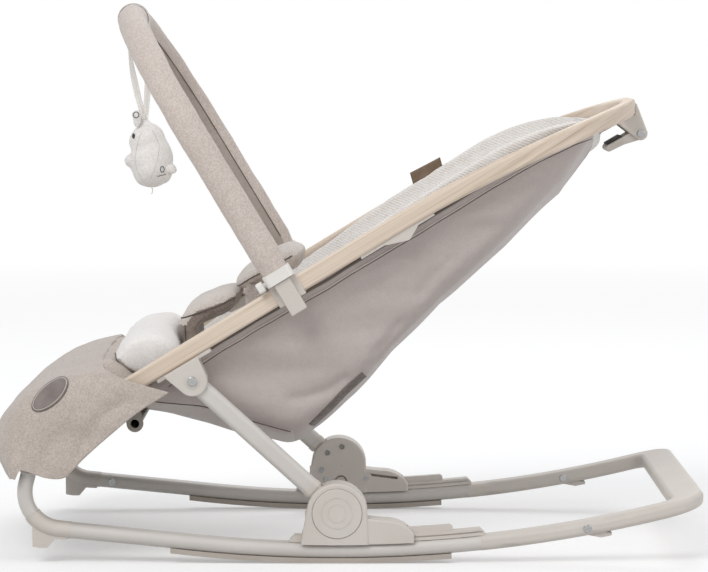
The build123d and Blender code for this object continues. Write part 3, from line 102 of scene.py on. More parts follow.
def studio():
    """Even grey-blue daylight on the object, white behind it, and three large soft lamps."""
    world = bpy.data.worlds.new("studio")
    bpy.context.scene.world = world
    world.use_nodes = True
    tree = world.node_tree
    tree.nodes.clear()
    path = add(tree, "LightPath")
    seen = add(tree, "Math", links={0: path.outputs["Is Camera Ray"], 1: path.outputs["Is Glossy Ray"]},
               operation="MAXIMUM")
    seen = add(tree, "Math", links={0: seen.outputs[0], 1: path.outputs["Is Transmission Ray"]}, operation="MAXIMUM")
    dim = add(tree, "Background", {"Color": rgb("#F4F6FA"), "Strength": 0.62})
    bright = add(tree, "Background", {"Color": (1, 1, 1, 1), "Strength": 1.0})
    mix = add(tree, "MixShader", links={0: seen.outputs[0], 1: dim.outputs[0], 2: bright.outputs[0]})
    add(tree, "OutputWorld", links={"Surface": mix.outputs[0]})
    for name, place, size, power in (("key", (-1.6, -2.6, 3.0), 2.2, 62.0), ("fill", (2.6, -2.2, 1.6), 2.4, 22.0),
                                     ("back", (0.4, 2.6, 2.8), 2.0, 30.0)):
        data = bpy.data.lights.new(name, "AREA")
        data.shape = "DISK"
        data.size = size
        data.energy = power
        lamp = bpy.data.objects.new(name, data)
        lamp.location = place
        lamp.rotation_euler = (Vector((0, 0, 0.25)) - Vector(place)).to_track_quat("-Z", "Y").to_euler()
        bpy.context.scene.collection.objects.link(lamp)


def floor():
    """Pale paper that fades to white away from the object and keeps its shadow."""
    deselect()
    bpy.ops.mesh.primitive_circle_add(vertices=96, radius=24.0, fill_type="NGON", location=(0, 0, -0.0005))
    made = bpy.context.object
    made.name = "floor"
    paper, tree = blank("studio_paper")
    where = add(tree, "TexCoord").outputs["Object"]
    far = add(tree, "VectorMath", links={0: where}, operation="LENGTH").outputs["Value"]
    fade = add(tree, "MapRange", {"From Min": 1.0, "From Max": 5.0}, {"Value": far}).outputs["Result"]
    path = add(tree, "LightPath")
    seen = add(tree, "Math", links={0: path.outputs["Is Camera Ray"], 1: path.outputs["Is Glossy Ray"]},
               operation="MAXIMUM").outputs[0]
    matt = add(tree, "BsdfDiffuse", {"Color": rgb("#D9D9D8")})
    glow = add(tree, "Emission", {"Color": (1, 1, 1, 1), "Strength": 0.34})
    lit = add(tree, "AddShader", links={0: matt.outputs[0], 1: glow.outputs[0]})
    white = add(tree, "Emission", {"Color": (1, 1, 1, 1), "Strength": 1.0})
    faded = add(tree, "MixShader", links={0: fade, 1: lit.outputs[0], 2: white.outputs[0]})
    both = add(tree, "MixShader", links={0: seen, 1: matt.outputs[0], 2: faded.outputs[0]})
    add(tree, "OutputMaterial", links={"Surface": both.outputs[0]})
    made.data.materials.append(paper)


camera()
studio()
floor()
bpy.context.scene.view_settings.view_transform = "Standard"


# ---------------------------------------------------------------- finishes
def surface(made, tree, values, colour=None, rough=None, height=None, depth=0.0):
    """Ends a material in one Principled surface; colour, rough and height are optional sockets that drive it."""
    shader = add(tree, "BsdfPrincipled", values)
    if colour is not None:
        tree.links.new(colour, shader.inputs["Base Color"])
    if rough is not None:
        tree.links.new(rough, shader.inputs["Roughness"])
    if height is not None:
        bump = add(tree, "Bump", {"Strength": 1.0, "Distance": depth}, {"Height": height})
        tree.links.new(bump.outputs[0], shader.inputs["Normal"])
    add(tree, "OutputMaterial", links={"Surface": shader.outputs[0]})
    return made


def start(name):
    """A blank material and the Object coordinates that its pattern lies on."""
    made, tree = blank(name)
    return made, tree, add(tree, "TexCoord").outputs["Object"]


def ramp(tree, factor, stops):
    """Colour along a factor from stops of place and sRGB hex code."""
    made = add(tree, "ValToRGB", links={"Fac": factor})
    marks = made.color_ramp.elements
    marks[0].position, marks[0].color = stops[0][0], rgb(stops[0][1])
    marks[1].position, marks[1].color = stops[-1][0], rgb(stops[-1][1])
    for place, code in stops[1:-1]:
        marks.new(place).color = rgb(code)
    return made.outputs["Color"]


def powder_coat(name, light, dark):
    """Steel tube, powder coated: an even satin with fine orange peel, about 1.5 mm from crest to crest."""
    made, tree, place = start(name)
    peel = add(tree, "TexNoise", {"Scale": 650.0, "Detail": 2.0}, {"Vector": place}).outputs["Fac"]
    cloud = add(tree, "TexNoise", {"Scale": 9.0, "Detail": 3.0}, {"Vector": place}).outputs["Fac"]
    shade = ramp(tree, cloud, ((0.3, dark), (0.7, light)))
    rough = add(tree, "MapRange", {"To Min": 0.34, "To Max": 0.46}, {"Value": cloud}).outputs["Result"]
    return surface(made, tree, {"Metallic": 0.0, "IOR": 1.5}, shade, rough, peel, 0.00006)


def moulded(name, light, dark, rough=0.5, grain=0.00005):
    """Polypropylene from a spark-eroded mould: dull, with a very fine even grain of about 0.8 mm.

    Rubber and thread use it too, rougher.
    """
    made, tree, place = start(name)
    speck = add(tree, "TexNoise", {"Scale": 1250.0, "Detail": 2.0}, {"Vector": place}).outputs["Fac"]
    cloud = add(tree, "TexNoise", {"Scale": 14.0, "Detail": 4.0}, {"Vector": place}).outputs["Fac"]
    shade = ramp(tree, cloud, ((0.3, dark), (0.7, light)))
    dull = add(tree, "MapRange", {"To Min": rough - 0.05, "To Max": rough + 0.07}, {"Value": speck}).outputs["Result"]
    return surface(made, tree, {"IOR": 1.49}, shade, dull, speck, grain)


def turned_metal(name, code, rough):
    """Bright plated steel: mirror-like with faint turning marks 0.4 mm apart."""
    made, tree, place = start(name)
    marks = add(tree, "TexNoise", {"Scale": 2500.0, "Detail": 1.0}, {"Vector": place}).outputs["Fac"]
    dull = add(tree, "MapRange", {"To Min": rough, "To Max": rough + 0.12}, {"Value": marks}).outputs["Result"]
    return surface(made, tree, {"Base Color": rgb(code), "Metallic": 1.0}, None, dull, marks, 0.00001)


def yarn_space(tree, place):
    """Object coordinates turned so that X runs up the seat frame."""
    return add(tree, "Mapping", {"Rotation": (0.0, TILT, 0.0)}, {"Vector": place}).outputs[0]


def woven(name, light, dark, stitch, relief, rough=0.85, sheen=0.3, even=0.35, rib=0.0):
    """Cloth whose stitches stand the given distance apart in metres, each yarn a little lighter or darker."""
    made, tree, place = start(name)
    space = yarn_space(tree, place)
    cells = add(tree, "TexVoronoi", {"Scale": 1.0 / stitch, "Randomness": 0.55}, {"Vector": space})
    tone = add(tree, "SeparateColor", links={"Color": cells.outputs["Color"]}).outputs[0]
    cloud = add(tree, "TexNoise", {"Scale": 0.12 / stitch, "Detail": 3.0}, {"Vector": space}).outputs["Fac"]
    shade = add(tree, "Mix", {"Factor": even}, {"A": tone, "B": cloud}).outputs["Result"]
    colour = ramp(tree, shade, ((0.12, dark), (0.88, light)))
    height = add(tree, "Math", {0: 1.0}, {1: cells.outputs["Distance"]}, operation="SUBTRACT").outputs[0]
    if rib:
        skew = add(tree, "Mapping", {"Rotation": (0.0, radians(38.0), 0.0)}, {"Vector": space}).outputs[0]
        bars = add(tree, "TexWave", {"Scale": 0.314 / rib, "Distortion": 0.6, "Detail": 1.0}, {"Vector": skew},
                   bands_direction="X").outputs["Fac"]
        height = add(tree, "Math", {1: rib / stitch}, {0: bars, 2: height}, operation="MULTIPLY_ADD").outputs[0]
        shade = add(tree, "Mix", {"Factor": 0.28}, {"A": shade, "B": bars}).outputs["Result"]
        colour = ramp(tree, shade, ((0.12, dark), (0.88, light)))
    return surface(made, tree, {"Roughness": rough, "Sheen Weight": sheen, "Sheen Roughness": 0.5, "IOR": 1.45},
                   colour, None, height, relief)


def ash(name, light, dark, line):
    """Whitewashed ash, its grain running along the bar and round the head arch, pores about 1 mm wide."""
    made, tree, place = start(name)
    turned = add(tree, "SeparateXYZ", links={"Vector": yarn_space(tree, place)})
    plain = add(tree, "SeparateXYZ", links={"Vector": place})
    bend, reach, half = 0.17, 0.167, 0.205      # metres: X where the arch starts, its length, its half width
    past = add(tree, "Math", {1: bend}, {0: plain.outputs["X"]}, operation="SUBTRACT").outputs[0]
    past = add(tree, "Math", {1: 0.0}, {0: past}, operation="MAXIMUM").outputs[0]
    past = add(tree, "Math", {1: reach}, {0: past}, operation="DIVIDE").outputs[0]
    side = add(tree, "Math", {1: half}, {0: plain.outputs["Y"]}, operation="DIVIDE").outputs[0]
    side = add(tree, "Math", links={0: side}, operation="ABSOLUTE").outputs[0]
    flat = add(tree, "CombineXYZ", links={"X": past, "Y": side}).outputs[0]
    across = add(tree, "VectorMath", links={0: flat}, operation="LENGTH").outputs["Value"]
    angle = add(tree, "Math", links={0: past, 1: side}, operation="ARCTAN2").outputs[0]
    along = add(tree, "Math", {1: 0.25}, {0: angle, 2: turned.outputs["X"]}, operation="MULTIPLY_ADD").outputs[0]
    grain = add(tree, "CombineXYZ", links={"X": along, "Y": across, "Z": turned.outputs["Z"]}).outputs[0]
    fine = add(tree, "Mapping", {"Scale": (9.0, 190.0, 900.0)}, {"Vector": grain}).outputs[0]
    broad = add(tree, "Mapping", {"Scale": (2.2, 30.0, 150.0)}, {"Vector": grain}).outputs[0]
    pores = add(tree, "TexNoise", {"Scale": 1.0, "Detail": 4.0, "Roughness": 0.6}, {"Vector": fine}).outputs["Fac"]
    bands = add(tree, "TexNoise", {"Scale": 1.0, "Detail": 3.0, "Distortion": 0.4}, {"Vector": broad}).outputs["Fac"]
    mixed = add(tree, "Mix", {"Factor": 0.45}, {"A": bands, "B": pores}).outputs["Result"]
    colour = ramp(tree, mixed, ((0.28, line), (0.46, dark), (0.66, light)))
    return surface(made, tree, {"Roughness": 0.55, "IOR": 1.5, "Coat Weight": 0.12, "Coat Roughness": 0.35},
                   colour, None, pores, 0.00012)


def hide(name, light, dark):
    """Smooth cowhide with fine pebbling about 1.2 mm across."""
    made, tree, place = start(name)
    cells = add(tree, "TexVoronoi", {"Scale": 850.0}, {"Vector": place}).outputs["Distance"]
    cloud = add(tree, "TexNoise", {"Scale": 60.0, "Detail": 4.0}, {"Vector": place}).outputs["Fac"]
    shade = ramp(tree, cloud, ((0.35, dark), (0.65, light)))
    return surface(made, tree, {"Roughness": 0.6, "IOR": 1.45}, shade, None, cells, 0.00012)


def sheer(name, code):
    """Thin organza ribbon that lets some light through."""
    made, tree, place = start(name)
    mesh = add(tree, "TexNoise", {"Scale": 900.0, "Detail": 1.0}, {"Vector": place}).outputs["Fac"]
    cloth = add(tree, "BsdfPrincipled", {"Base Color": rgb(code), "Roughness": 0.6, "Sheen Weight": 0.4})
    clear = add(tree, "BsdfTransparent")
    weight = add(tree, "MapRange", {"To Min": 0.45, "To Max": 0.85}, {"Value": mesh}).outputs["Result"]
    both = add(tree, "MixShader", links={0: weight, 1: clear.outputs[0], 2: cloth.outputs[0]})
    add(tree, "OutputMaterial", links={"Surface": both.outputs[0]})
    return made


def fur(name, light, dark, strand, relief):
    """Short pile plush, tufts of the given width in metres."""
    made, tree, place = start(name)
    tufts = add(tree, "TexNoise", {"Scale": 1.0 / strand, "Detail": 4.0, "Roughness": 0.7}, {"Vector": place})
    colour = ramp(tree, tufts.outputs["Fac"], ((0.3, dark), (0.62, light)))
    return surface(made, tree, {"Roughness": 0.95, "Sheen Weight": 0.7, "Sheen Roughness": 0.4}, colour, None,
                   tufts.outputs["Fac"], relief)


TAUPE = moulded("moulded_polypropylene_taupe", "#D2CBC3", "#CBC3BA")
TAUPE_COAT = powder_coat("powder_coated_steel_taupe", "#D3CEC8", "#CBC5BE")
DARK_COAT = powder_coat("powder_coated_steel_shadow_grey", "#8D867C", "#837C72")
WHITE_TAB = moulded("moulded_polypropylene_white", "#ECE8E3", "#E4E0DA", 0.42)
RUBBER = moulded("thermoplastic_rubber_grey", "#B8AFA5", "#AEA59B", 0.7, 0.00008)
GRIP = moulded("thermoplastic_rubber_black", "#3A3633", "#2E2A28", 0.65, 0.00008)
CHROME = turned_metal("chrome_plated_steel", "#ABABAB", 0.10)
STEEL = turned_metal("turned_steel", "#A9A49C", 0.25)
WOOD = ash("whitewashed_ash", "#E6D7C6", "#D5C3B0", "#AF9A86")
MELANGE = woven("woven_melange_polyester", "#CABFB5", "#AFA298", 0.0013, 0.0004)
# painted lit and painted shaded copies of the melange: the lighter one paints light on the pads' upward faces, the
# darker one paints shade over the crotch pad
MELANGE_PAINTED_LIT = woven("woven_melange_polyester_top", "#D9D1C9", "#C3B8AE", 0.0013, 0.0004)
MELANGE_PAINTED_SHADE = woven("woven_melange_polyester_side", "#9C8F86", "#7F7269", 0.0013, 0.0004)
TAFFETA = woven("polyester_taffeta", "#B9AEA9", "#ADA29D", 0.0011, 0.00010, 0.5, 0.15, 0.6)
TAFFETA_PALE = woven("polyester_taffeta_pale", "#C9BFB8", "#BFB4AD", 0.0011, 0.00010, 0.5, 0.15, 0.6)
ZIP_MESH = woven("zip_tape_polyester", "#7C736D", "#5D544F", 0.0018, 0.0004, 0.7, 0.1)
JERSEY = woven("white_cotton_jersey", "#F3F0ED", "#E6E1DC", 0.0018, 0.0002, 0.9, 0.3, 0.5)
RIBBED = woven("white_ribbed_cotton", "#F3F0EC", "#DDD6CF", 0.0016, 0.0002, 0.9, 0.3, 0.5, 0.0032)
JERSEY_GREY = woven("grey_cotton_jersey", "#C7BEB7", "#B3A9A1", 0.0018, 0.0003)
KNIT = woven("dotted_knit_sleeve", "#D8CCC3", "#C2B5AB", 0.0013, 0.0004, 0.9, 0.3, 0.2)
# a darker, plainer copy of the knit for one quarter of the toy bar sleeve
KNIT_DARKER_QUARTER = woven("plain_knit_sleeve", "#B5A9A0", "#A1958C", 0.0014, 0.0003, 0.9, 0.3, 0.6)
WEBBING = woven("polyester_webbing", "#B5AAA1", "#90847A", 0.0016, 0.0006, 0.7, 0.1)
# dark thread; the same colour also paints the shadow under the wood as a dark line along the sling's rim
DARK_THREAD_AND_SHADOW = moulded("polyester_thread_dark", "#6E645D", "#5A514B", 0.8)
THREAD_PALE = moulded("polyester_thread_pale", "#D8D1C9", "#CBC3BA", 0.8)
LEATHER = hide("grey_leather", "#857A75", "#746A65")
LEATHER_BROWN = hide("brown_leather", "#7C6756", "#67543F")
PLUSH = fur("white_plush", "#F6F2EE", "#DFD8D2", 0.0022, 0.0010)
RIBBON = sheer("white_organza", "#F1ECE6")
EYE_THREAD = moulded("glazed_thread_black", "#2B2624", "#211D1B", 0.25, 0.00001)

# the hard pieces that the CAD already gives, by name
FINISHES = {
    "rocker_tube_left rocker_tube_right front_tube_left front_tube_right "
    "strut_tube_left strut_tube_right": TAUPE_COAT,
    "front_axle front_bar seat_arm_left seat_arm_right toy_bar_core": DARK_COAT,
    "front_elbow_left front_elbow_right rear_frame carriage_left carriage_right hub_covers lock_plates "
    "button_left button_right strut_hub_left strut_hub_right strut_bracket_left strut_bracket_right "
    "toy_bar_socket_left toy_bar_socket_right sling_clips head_bracket head_lever stand_left stand_right "
    "slide_track_left slide_track_right": TAUPE,
    "release_tab_left release_tab_right toy_bar_end_left toy_bar_end_right buckle": WHITE_TAB,
    "rocking_strip_left rocking_strip_right": RUBBER,
    "lever_grip": GRIP,
    "base_screws carriage_screws pivot_rivets seat_screws": CHROME,
    "hub_pins lock_pins": STEEL,
    "seat_frame": WOOD,
}
for names, finish in FINISHES.items():
    for name in names.split():
        for entry in NODES[name].material_slots:
            entry.link = "OBJECT"
            entry.material = finish


# ---------------------------------------------------------------- shaping soft pieces
def spline(points, t):
    """Point on a smooth curve through the given points, t counted in points from the first."""
    last = len(points) - 1
    i = min(int(t), last - 1)
    f = t - i
    p0, p1, p2, p3 = (points[max(i - 1, 0)], points[i], points[i + 1], points[min(i + 2, last)])
    return tuple(0.5 * (2 * b + (c - a) * f + (2 * a - 5 * b + 4 * c - d) * f * f
                        + (3 * b - a - 3 * c + d) * f ** 3) for a, b, c, d in zip(p0, p1, p2, p3))


def catmull(points, count):
    """count points, evenly placed by index, on a smooth curve through the given points."""
    return [spline(points, k * (len(points) - 1) / (count - 1)) for k in range(count)]


def at(points, t):
    """Point at 0 to 1 along a smooth curve through the given points."""
    return spline(points, min(max(t, 0.0), 1.0) * (len(points) - 1))


def sheet_of(name, rows, closed=False):
    """A grid shaped row by row to the given points in metres; closed joins each row's ends."""
    deselect()
    across, down = len(rows[0]), len(rows)
    bpy.ops.mesh.primitive_grid_add(x_subdivisions=across - 1, y_subdivisions=down - 1, size=1.0, calc_uvs=True)
    made = bpy.context.object
    made.name = name
    flat = [p for row in rows for p in row]
    for vert, place in zip(made.data.vertices, flat):
        vert.co = place
    if closed:
        bpy.ops.object.mode_set(mode="EDIT")
        bpy.ops.mesh.select_all(action="SELECT")
        bpy.ops.mesh.remove_doubles(threshold=0.00002)
        bpy.ops.mesh.normals_make_consistent(inside=False)
        bpy.ops.object.mode_set(mode="OBJECT")
    bpy.ops.object.shade_smooth()
    return made


def choose(piece):
    """Only this piece selected and active."""
    deselect()
    bpy.context.view_layer.objects.active = piece
    piece.select_set(True)


def modify(piece, kind, **settings):
    """Adds one modifier and applies it."""
    choose(piece)
    made = piece.modifiers.new(kind.lower(), kind)
    for key, value in settings.items():
        setattr(made, key, value)
    bpy.ops.object.modifier_apply(modifier=made.name)
    return piece


def rounded(piece):
    """One level of subdivision, applied."""
    return modify(piece, "SUBSURF", levels=1, render_levels=1)


def ruffle(piece, size, depth, stretch=(1, 1, 1), seed=0.0, weight=None):
    """Moves the surface in and out along its normals by smooth noise: creases of that size and depth."""
    mesh = piece.data
    normals = [v.normal.copy() for v in mesh.vertices]
    for vert, normal in zip(mesh.vertices, normals):
        p = Vector((vert.co.x * stretch[0], vert.co.y * stretch[1], vert.co.z * stretch[2])) / size
        move = noise.noise(p + Vector((seed, 0, 0)))
        keep = 1.0 if weight is None else weight(vert.co)
        vert.co += normal * move * depth * keep


def tube(name, path, radius, sides=6):
    """Piping or thread: a round line along a path in metres."""
    curve = bpy.data.curves.new(name, "CURVE")
    curve.dimensions = "3D"
    line = curve.splines.new("POLY")
    line.points.add(len(path) - 1)
    for point, place in zip(line.points, path):
        point.co = (*place, 1.0)
    curve.bevel_depth = radius
    curve.bevel_resolution = max(1, sides // 4)
    curve.use_fill_caps = True
    made = bpy.data.objects.new(name, curve)
    bpy.context.scene.collection.objects.link(made)
    choose(made)
    bpy.ops.object.convert(target="MESH")
    bpy.ops.object.shade_smooth()
    return bpy.context.object


def wear(piece, finish, body, *nodes, slot=None):
    """Gives a piece its material, the body that it rides on, and the CAD nodes that it stands for, which it hides;
    slot is not used.
    """
    piece.data.materials.clear()
    piece.data.materials.append(finish)
    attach(piece, body)
    if nodes:
        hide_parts(*nodes)


def mm(*values):
    """Millimetres to metres."""
    return tuple(v / 1000.0 for v in values)


def on_frame(f, n):
    """f along the seat frame from its foot, n square above it, in millimetres."""
    return (FRAME_FOOT[0] + f * cos(TILT) - n * sin(TILT), FRAME_FOOT[1] + f * sin(TILT) + n * cos(TILT))


def smooth(t):
    """0 to 1 with no corner at either end."""
    t = min(max(t, 0.0), 1.0)
    return t * t * (3 - 2 * t)


def place_on(piece, x, z, side, lift):
    """Point on the piece's side surface at that X and Z in millimetres, lifted off it."""
    hit, place, normal, _ = piece.ray_cast(Vector((x / 1000, side * 0.6, z / 1000)), Vector((0, -side, 0)))
    return place + normal * (lift / 1000) if hit else None


def seam(name, piece, points, finish=DARK_THREAD_AND_SHADOW, radius=0.8, lift=0.3, side=LEFT, body="seat"):
    """A tube that follows the piece's side surface: a sewn line or piping, and along the sling's rim a dark line of
    painted shadow.
    """
    path = []
    for x, _, z in catmull([(p[0], 0.0, p[1]) for p in points], len(points) * 7):
        place = place_on(piece, x, z, side, lift)
        if place is not None:
            path.append(place)
    wear(tube(name, path, radius / 1000, 8), finish, body)


def strip(name, piece, points, width, finish, lift=0.6, side=LEFT):
    """A tape sewn on the piece's side surface along the given X and Z points."""
    spine = [(x, z) for x, _, z in catmull([(p[0], 0.0, p[1]) for p in points], len(points) * 8)]
    rows = []
    for i, (x, z) in enumerate(spine):
        a, b = spine[max(i - 1, 0)], spine[min(i + 1, len(spine) - 1)]
        run = Vector((b[0] - a[0], b[1] - a[1])).normalized()
        row = [place_on(piece, x - run.y * w, z + run.x * w, side, lift)
               for w in [width * (k / 6 - 0.5) for k in range(7)]]
        if all(p is not None for p in row):
            rows.append([tuple(p) for p in row])
    made = sheet_of(name, rows)
    modify(made, "SOLIDIFY", thickness=0.0008, offset=0.0)
    wear(made, finish, "seat")


def tint(piece, finish, chosen):
    """Second finish of a piece, on the faces whose centre is chosen; on the pads it is a painted lit copy of their
    cloth, on their upward faces.
    """
    piece.data.materials.append(finish)
    index = len(piece.data.materials) - 1
    for face in piece.data.polygons:
        if chosen(face.center * 1000, face.normal):
            face.material_index = index


def pinch(piece, points, width, depth, side=LEFT):
    """Folds the piece's side surface inwards along a line of X and Z points."""
    line = [Vector(p) for p in points]
    for vert in piece.data.vertices:
        if vert.co.y * side <= 0:
            continue
        p = Vector((vert.co.x * 1000, vert.co.z * 1000))
        near = math.inf
        for a, b in zip(line, line[1:]):
            run = b - a
            t = min(max((p - a).dot(run) / run.length_squared, 0.0), 1.0)
            near = min(near, (p - a - run * t).length)
        if near < 3 * width:
            vert.co.y -= side * depth / 1000 * math.exp(-(near / width) ** 2)


# ---------------------------------------------------------------- leg rest
# X and Z from the foot end to the head end: the side seam, the hem and the middle line
REST_SIDE = ((-371, 97), (-377, 112), (-384, 130), (-386, 148), (-380, 165), (-365, 183), (-337, 199), (-306, 208),
             (-275, 213))
REST_HEM = ((-370, 96), (-364, 106), (-352, 103), (-334, 97), (-316, 97), (-303, 108), (-276, 134), (-238, 166),
            (-197, 193))
REST_MIDDLE = ((-386, 82), (-394, 92), (-401, 106), (-404, 123), (-397, 144), (-379, 169), (-350, 195), (-313, 213),
               (-277, 225))
# from the middle to the hem: share of the half width, blend from middle to side, drop, and most drop by the span
REST_FALL = ((0, 0, 0), (0.30, 0.08, 0), (0.55, 0.28, 0), (0.75, 0.53, 1), (0.88, 0.78, 4), (0.955, 0.94, 12),
             (0.99, 1, 27), (1.0, 1, 48), (1.0, 1, 400))
REST_SHARES = (0, 0, 0, 0.05, 0.12, 0.25, 0.45, 0.7, 1.0)


def rest_half(x):
    """Half width of the leg rest, a little wider at the foot."""
    return 224.0 + 11.5 * smooth((-268 - x) / 70.0)


def rest_point(s, v):
    """v from -1 (left hem) over the top at 0 to 1 (right hem); the side rolls over in a soft dome."""
    side, hem, middle = (Vector(at(line, s)) for line in (REST_SIDE, REST_HEM, REST_MIDDLE))
    down = hem - side
    span = max(down.length, 0.5)
    down = down / span
    ring = [(share, blend, min(drop, span * most)) for (share, blend, drop), most in zip(REST_FALL, REST_SHARES)]
    share, blend, drop = at(ring, abs(v))
    spot = middle + (side - middle) * min(blend, 1.0) + down * drop
    return (spot.x, (-1.0 if v < 0 else 1.0) * min(share, 1.0) * rest_half(side.x), spot.y)


def leg_rest():
    """Padded cover over the front tubes, creased where it hangs."""
    along, across = 79, 144
    rows = [[mm(*rest_point(i / along, -1 + 2 * j / across)) for j in range(across + 1)] for i in range(along + 1)]
    made = sheet_of("leg_rest_cover", rows)
    ruffle(made, 0.042, 0.0030, (0.5, 1.0, 1.5), 3.0)
    ruffle(made, 0.014, 0.0008, (0.8, 1.0, 1.2), 9.0)
    pinch(made, ((-300, 120), (-286, 150), (-270, 168), (-250, 180)), 7.0, 3.0)
    pinch(made, ((-340, 112), (-330, 135), (-312, 150)), 8.0, 2.0)
    modify(made, "SOLIDIFY", thickness=0.0045, offset=-1.0)
    rounded(made)
    return made


COLLAR_TOP = ((-292, 216), (-278, 222), (-268, 224), (-256, 220), (-244, 211), (-232, 203))
COLLAR_LOW = ((-290, 196), (-272, 192), (-258, 188), (-246, 186), (-234, 186), (-222, 188))


def collar():
    """Inner panel of the leg rest, from the side seam to the cushion, between the two bars of the frame."""
    rows = []
    for i in range(22):
        top, low = at(COLLAR_TOP, i / 21), at(COLLAR_LOW, i / 21)
        row = []
        for j in range(101):
            v = -1 + 2 * j / 100
            t = smooth((abs(v) - 0.82) / 0.18)
            y = 187.0 * min(abs(v) / 0.93, 1.0)
            drop = 6.0 * (abs(v) / 0.82) ** 3 * (1 - t)
            row.append(mm(top[0] + (low[0] - top[0]) * t, -y if v < 0 else y,
                          top[1] + (low[1] - top[1]) * t - drop))
        rows.append(row)
    made = sheet_of("leg_rest_collar", rows)
    ruffle(made, 0.030, 0.0020, (0.8, 1.0, 1.2), 13.0)
    modify(made, "SOLIDIFY", thickness=0.004, offset=-1.0)
    rounded(made)
    wear(made, MELANGE, "seat")


# ---------------------------------------------------------------- sling bag and seat liner
# X, then the heights of the rim, the lower corner, the keel and the liner's wing
BAG = ((-228, 196.5, 172, 154, 198), (-165, 234, 171, 136, 240), (-115, 265, 152.5, 121, 279),
       (-85, 283, 142, 117, 298), (-62, 297, 137, 114, 311), (-38, 311, 149.5, 129, 327), (10, 340, 189, 171, 361),
       (55, 367.5, 240, 222, 393), (110, 401, 295, 277, 428), (185, 446, 363, 343.5, 472), (250, 478, 428, 406, 493),
       (286, 490.5, 474, 447, 494), (304, 497, 488, 474, 497))
BOTTOM_SEAM = ((-215, 178), (-170, 171), (-125, 160), (-62, 143))


def bag_half(x):
    """Half width of the bag, drawn in round the head arch."""
    past = max(x - ARCH_START, 0.0) / ARCH_REACH
    return SLING_HALF * sqrt(max(0.0, 1 - past ** 2))


def bag_stations(first, last, count):
    """Rows of x, rim, lower corner, keel and wing top, evenly spaced in x."""
    made = []
    for i in range(count + 1):
        x = first + (last - first) * i / count
        k = next((n for n in range(len(BAG) - 2) if BAG[n + 1][0] >= x), len(BAG) - 2)
        row = at(BAG, (k + (x - BAG[k][0]) / (BAG[k + 1][0] - BAG[k][0])) / (len(BAG) - 1))
        made.append((x,) + row[1:])
    return made


def bag_row(station, top, inset, columns):
    """Points down one side, over the sagging floor and up the other side, at that inset from the bag."""
    x, rim, low, keel, _ = station
    half = bag_half(x) - inset
    low, keel = low + inset, keel + inset
    r = max(min(30.0, 0.45 * (rim - low)) - 0.3 * inset, 2.0)
    flat, corner, wall = half - r, r * pi / 2, max(top - low - r, 0.5)
    row = []
    for j in range(columns + 1):
        v = -1 + 2 * j / columns
        d = abs(v) * (flat + corner + wall)
        if d < flat:
            y, z = d, keel + (low - keel) * (d / flat) ** 2
        elif d < flat + corner:
            y, z = flat + r * sin((d - flat) / r), low + r * (1 - cos((d - flat) / r))
        else:
            y, z = half, low + r + d - flat - corner
        row.append((x, -y if v < 0 else y, z))
    return row


def closing(row, top, reach, steps, outwards):
    """Rows that close an end of the bag with a wall, rounded in plan."""
    made = []
    half = max(abs(p[1]) for p in row)
    for k in range(1, steps + 1):
        t = k / steps
        new = []
        for j, (x, y, z) in enumerate(row):
            flat_y = y + (half * (2 * (j / (len(row) - 1)) - 1) - y) * t
            bulge = reach * sqrt(max(0.0, 1 - (flat_y / half) ** 2)) * sin(min(t * 2.2, 1.0) * pi / 2)
            new.append((x + outwards * bulge, flat_y, z + (top - z) * t))
        made.append(new)
    return made


def bag_sheet(first, last, inset, wings, reach, rows_count, columns):
    """Rows of the whole bag, the number of rows in its foot wall, and the stations; wings go above the rim."""
    stations = bag_stations(first, last, rows_count)
    rows = [bag_row(st, st[4] if wings else st[1], inset, columns) for st in stations]
    tops = [st[4] if wings else st[1] for st in stations]
    foot = closing(rows[0], tops[0], 3.0, 8, -1)[::-1]
    head = closing(rows[-1], tops[-1], reach, 10, 1)
    return foot + rows + head, len(foot), stations


def sling():
    """Taffeta bag under the frame, with a doubled hem and long tension creases."""
    first, last = -227.0, 303.0
    rows, foot, stations = bag_sheet(first, last, 0.5, False, 14.0, 110, 150)
    shaped = []
    for i, row in enumerate(rows):
        k = min(max(i - foot, 0), len(stations) - 1)
        rim = stations[k][1]
        new = []
        for x, y, z in row:
            hem = 1.4 if rim - z < 13.0 and abs(y) > 20.0 else 0.0
            belly = 2.5 * sin(pi * min(max((rim - z) / 110.0, 0.0), 1.0))
            clear = 6.0 * smooth((x - 262.0) / 30.0) * smooth((rim - z - 4.0) / 14.0)
            new.append(mm(x, y + (hem - belly) * (1 if y > 0 else -1) * (abs(y) > 60), z + clear))
        shaped.append(new)
    made = sheet_of("sling_bag", shaped)

    def tight(co):
        """No creases at the hem under the wood, and few along the bottom edge."""
        x, z = co.x * 1000, co.z * 1000
        _, rim, low = bag_stations(min(max(x, first), last), last + 1.0, 1)[0][:3]
        calm = smooth((275.0 - x) / 40.0)
        return calm * smooth((rim - z - 8.0) / 30.0) * (0.15 + 0.85 * smooth((z - low - 8.0) / 30.0))

    ruffle(made, 0.060, 0.0060, (0.30, 0.6, 1.7), 4.0, tight)
    ruffle(made, 0.022, 0.0014, (0.4, 0.8, 1.5), 12.0, tight)
    pinch(made, ((62, 268), (50, 252), (36, 236)), 6.0, 5.0)
    pinch(made, ((0, 205), (-16.8, 191.8), (-40, 183), (-62, 181)), 6.0, 5.0)
    pinch(made, ((120, 340), (100, 322), (85, 300)), 7.0, 3.0)
    pinch(made, ((-60, 250), (0, 290), (60, 325)), 9.0, 2.5)
    pinch(made, BOTTOM_SEAM, 2.5, 1.2)
    modify(made, "SOLIDIFY", thickness=0.0016, offset=0.0)
    wear(made, TAFFETA, "seat", "sling", slot="slot_08")
    foot_x, foot_z = BOTTOM_SEAM[-1]
    tint(made, TAFFETA_PALE, lambda c, n: c.x < foot_x + 2 and c.z < foot_z + (foot_x - c.x) * 0.23)
    return made


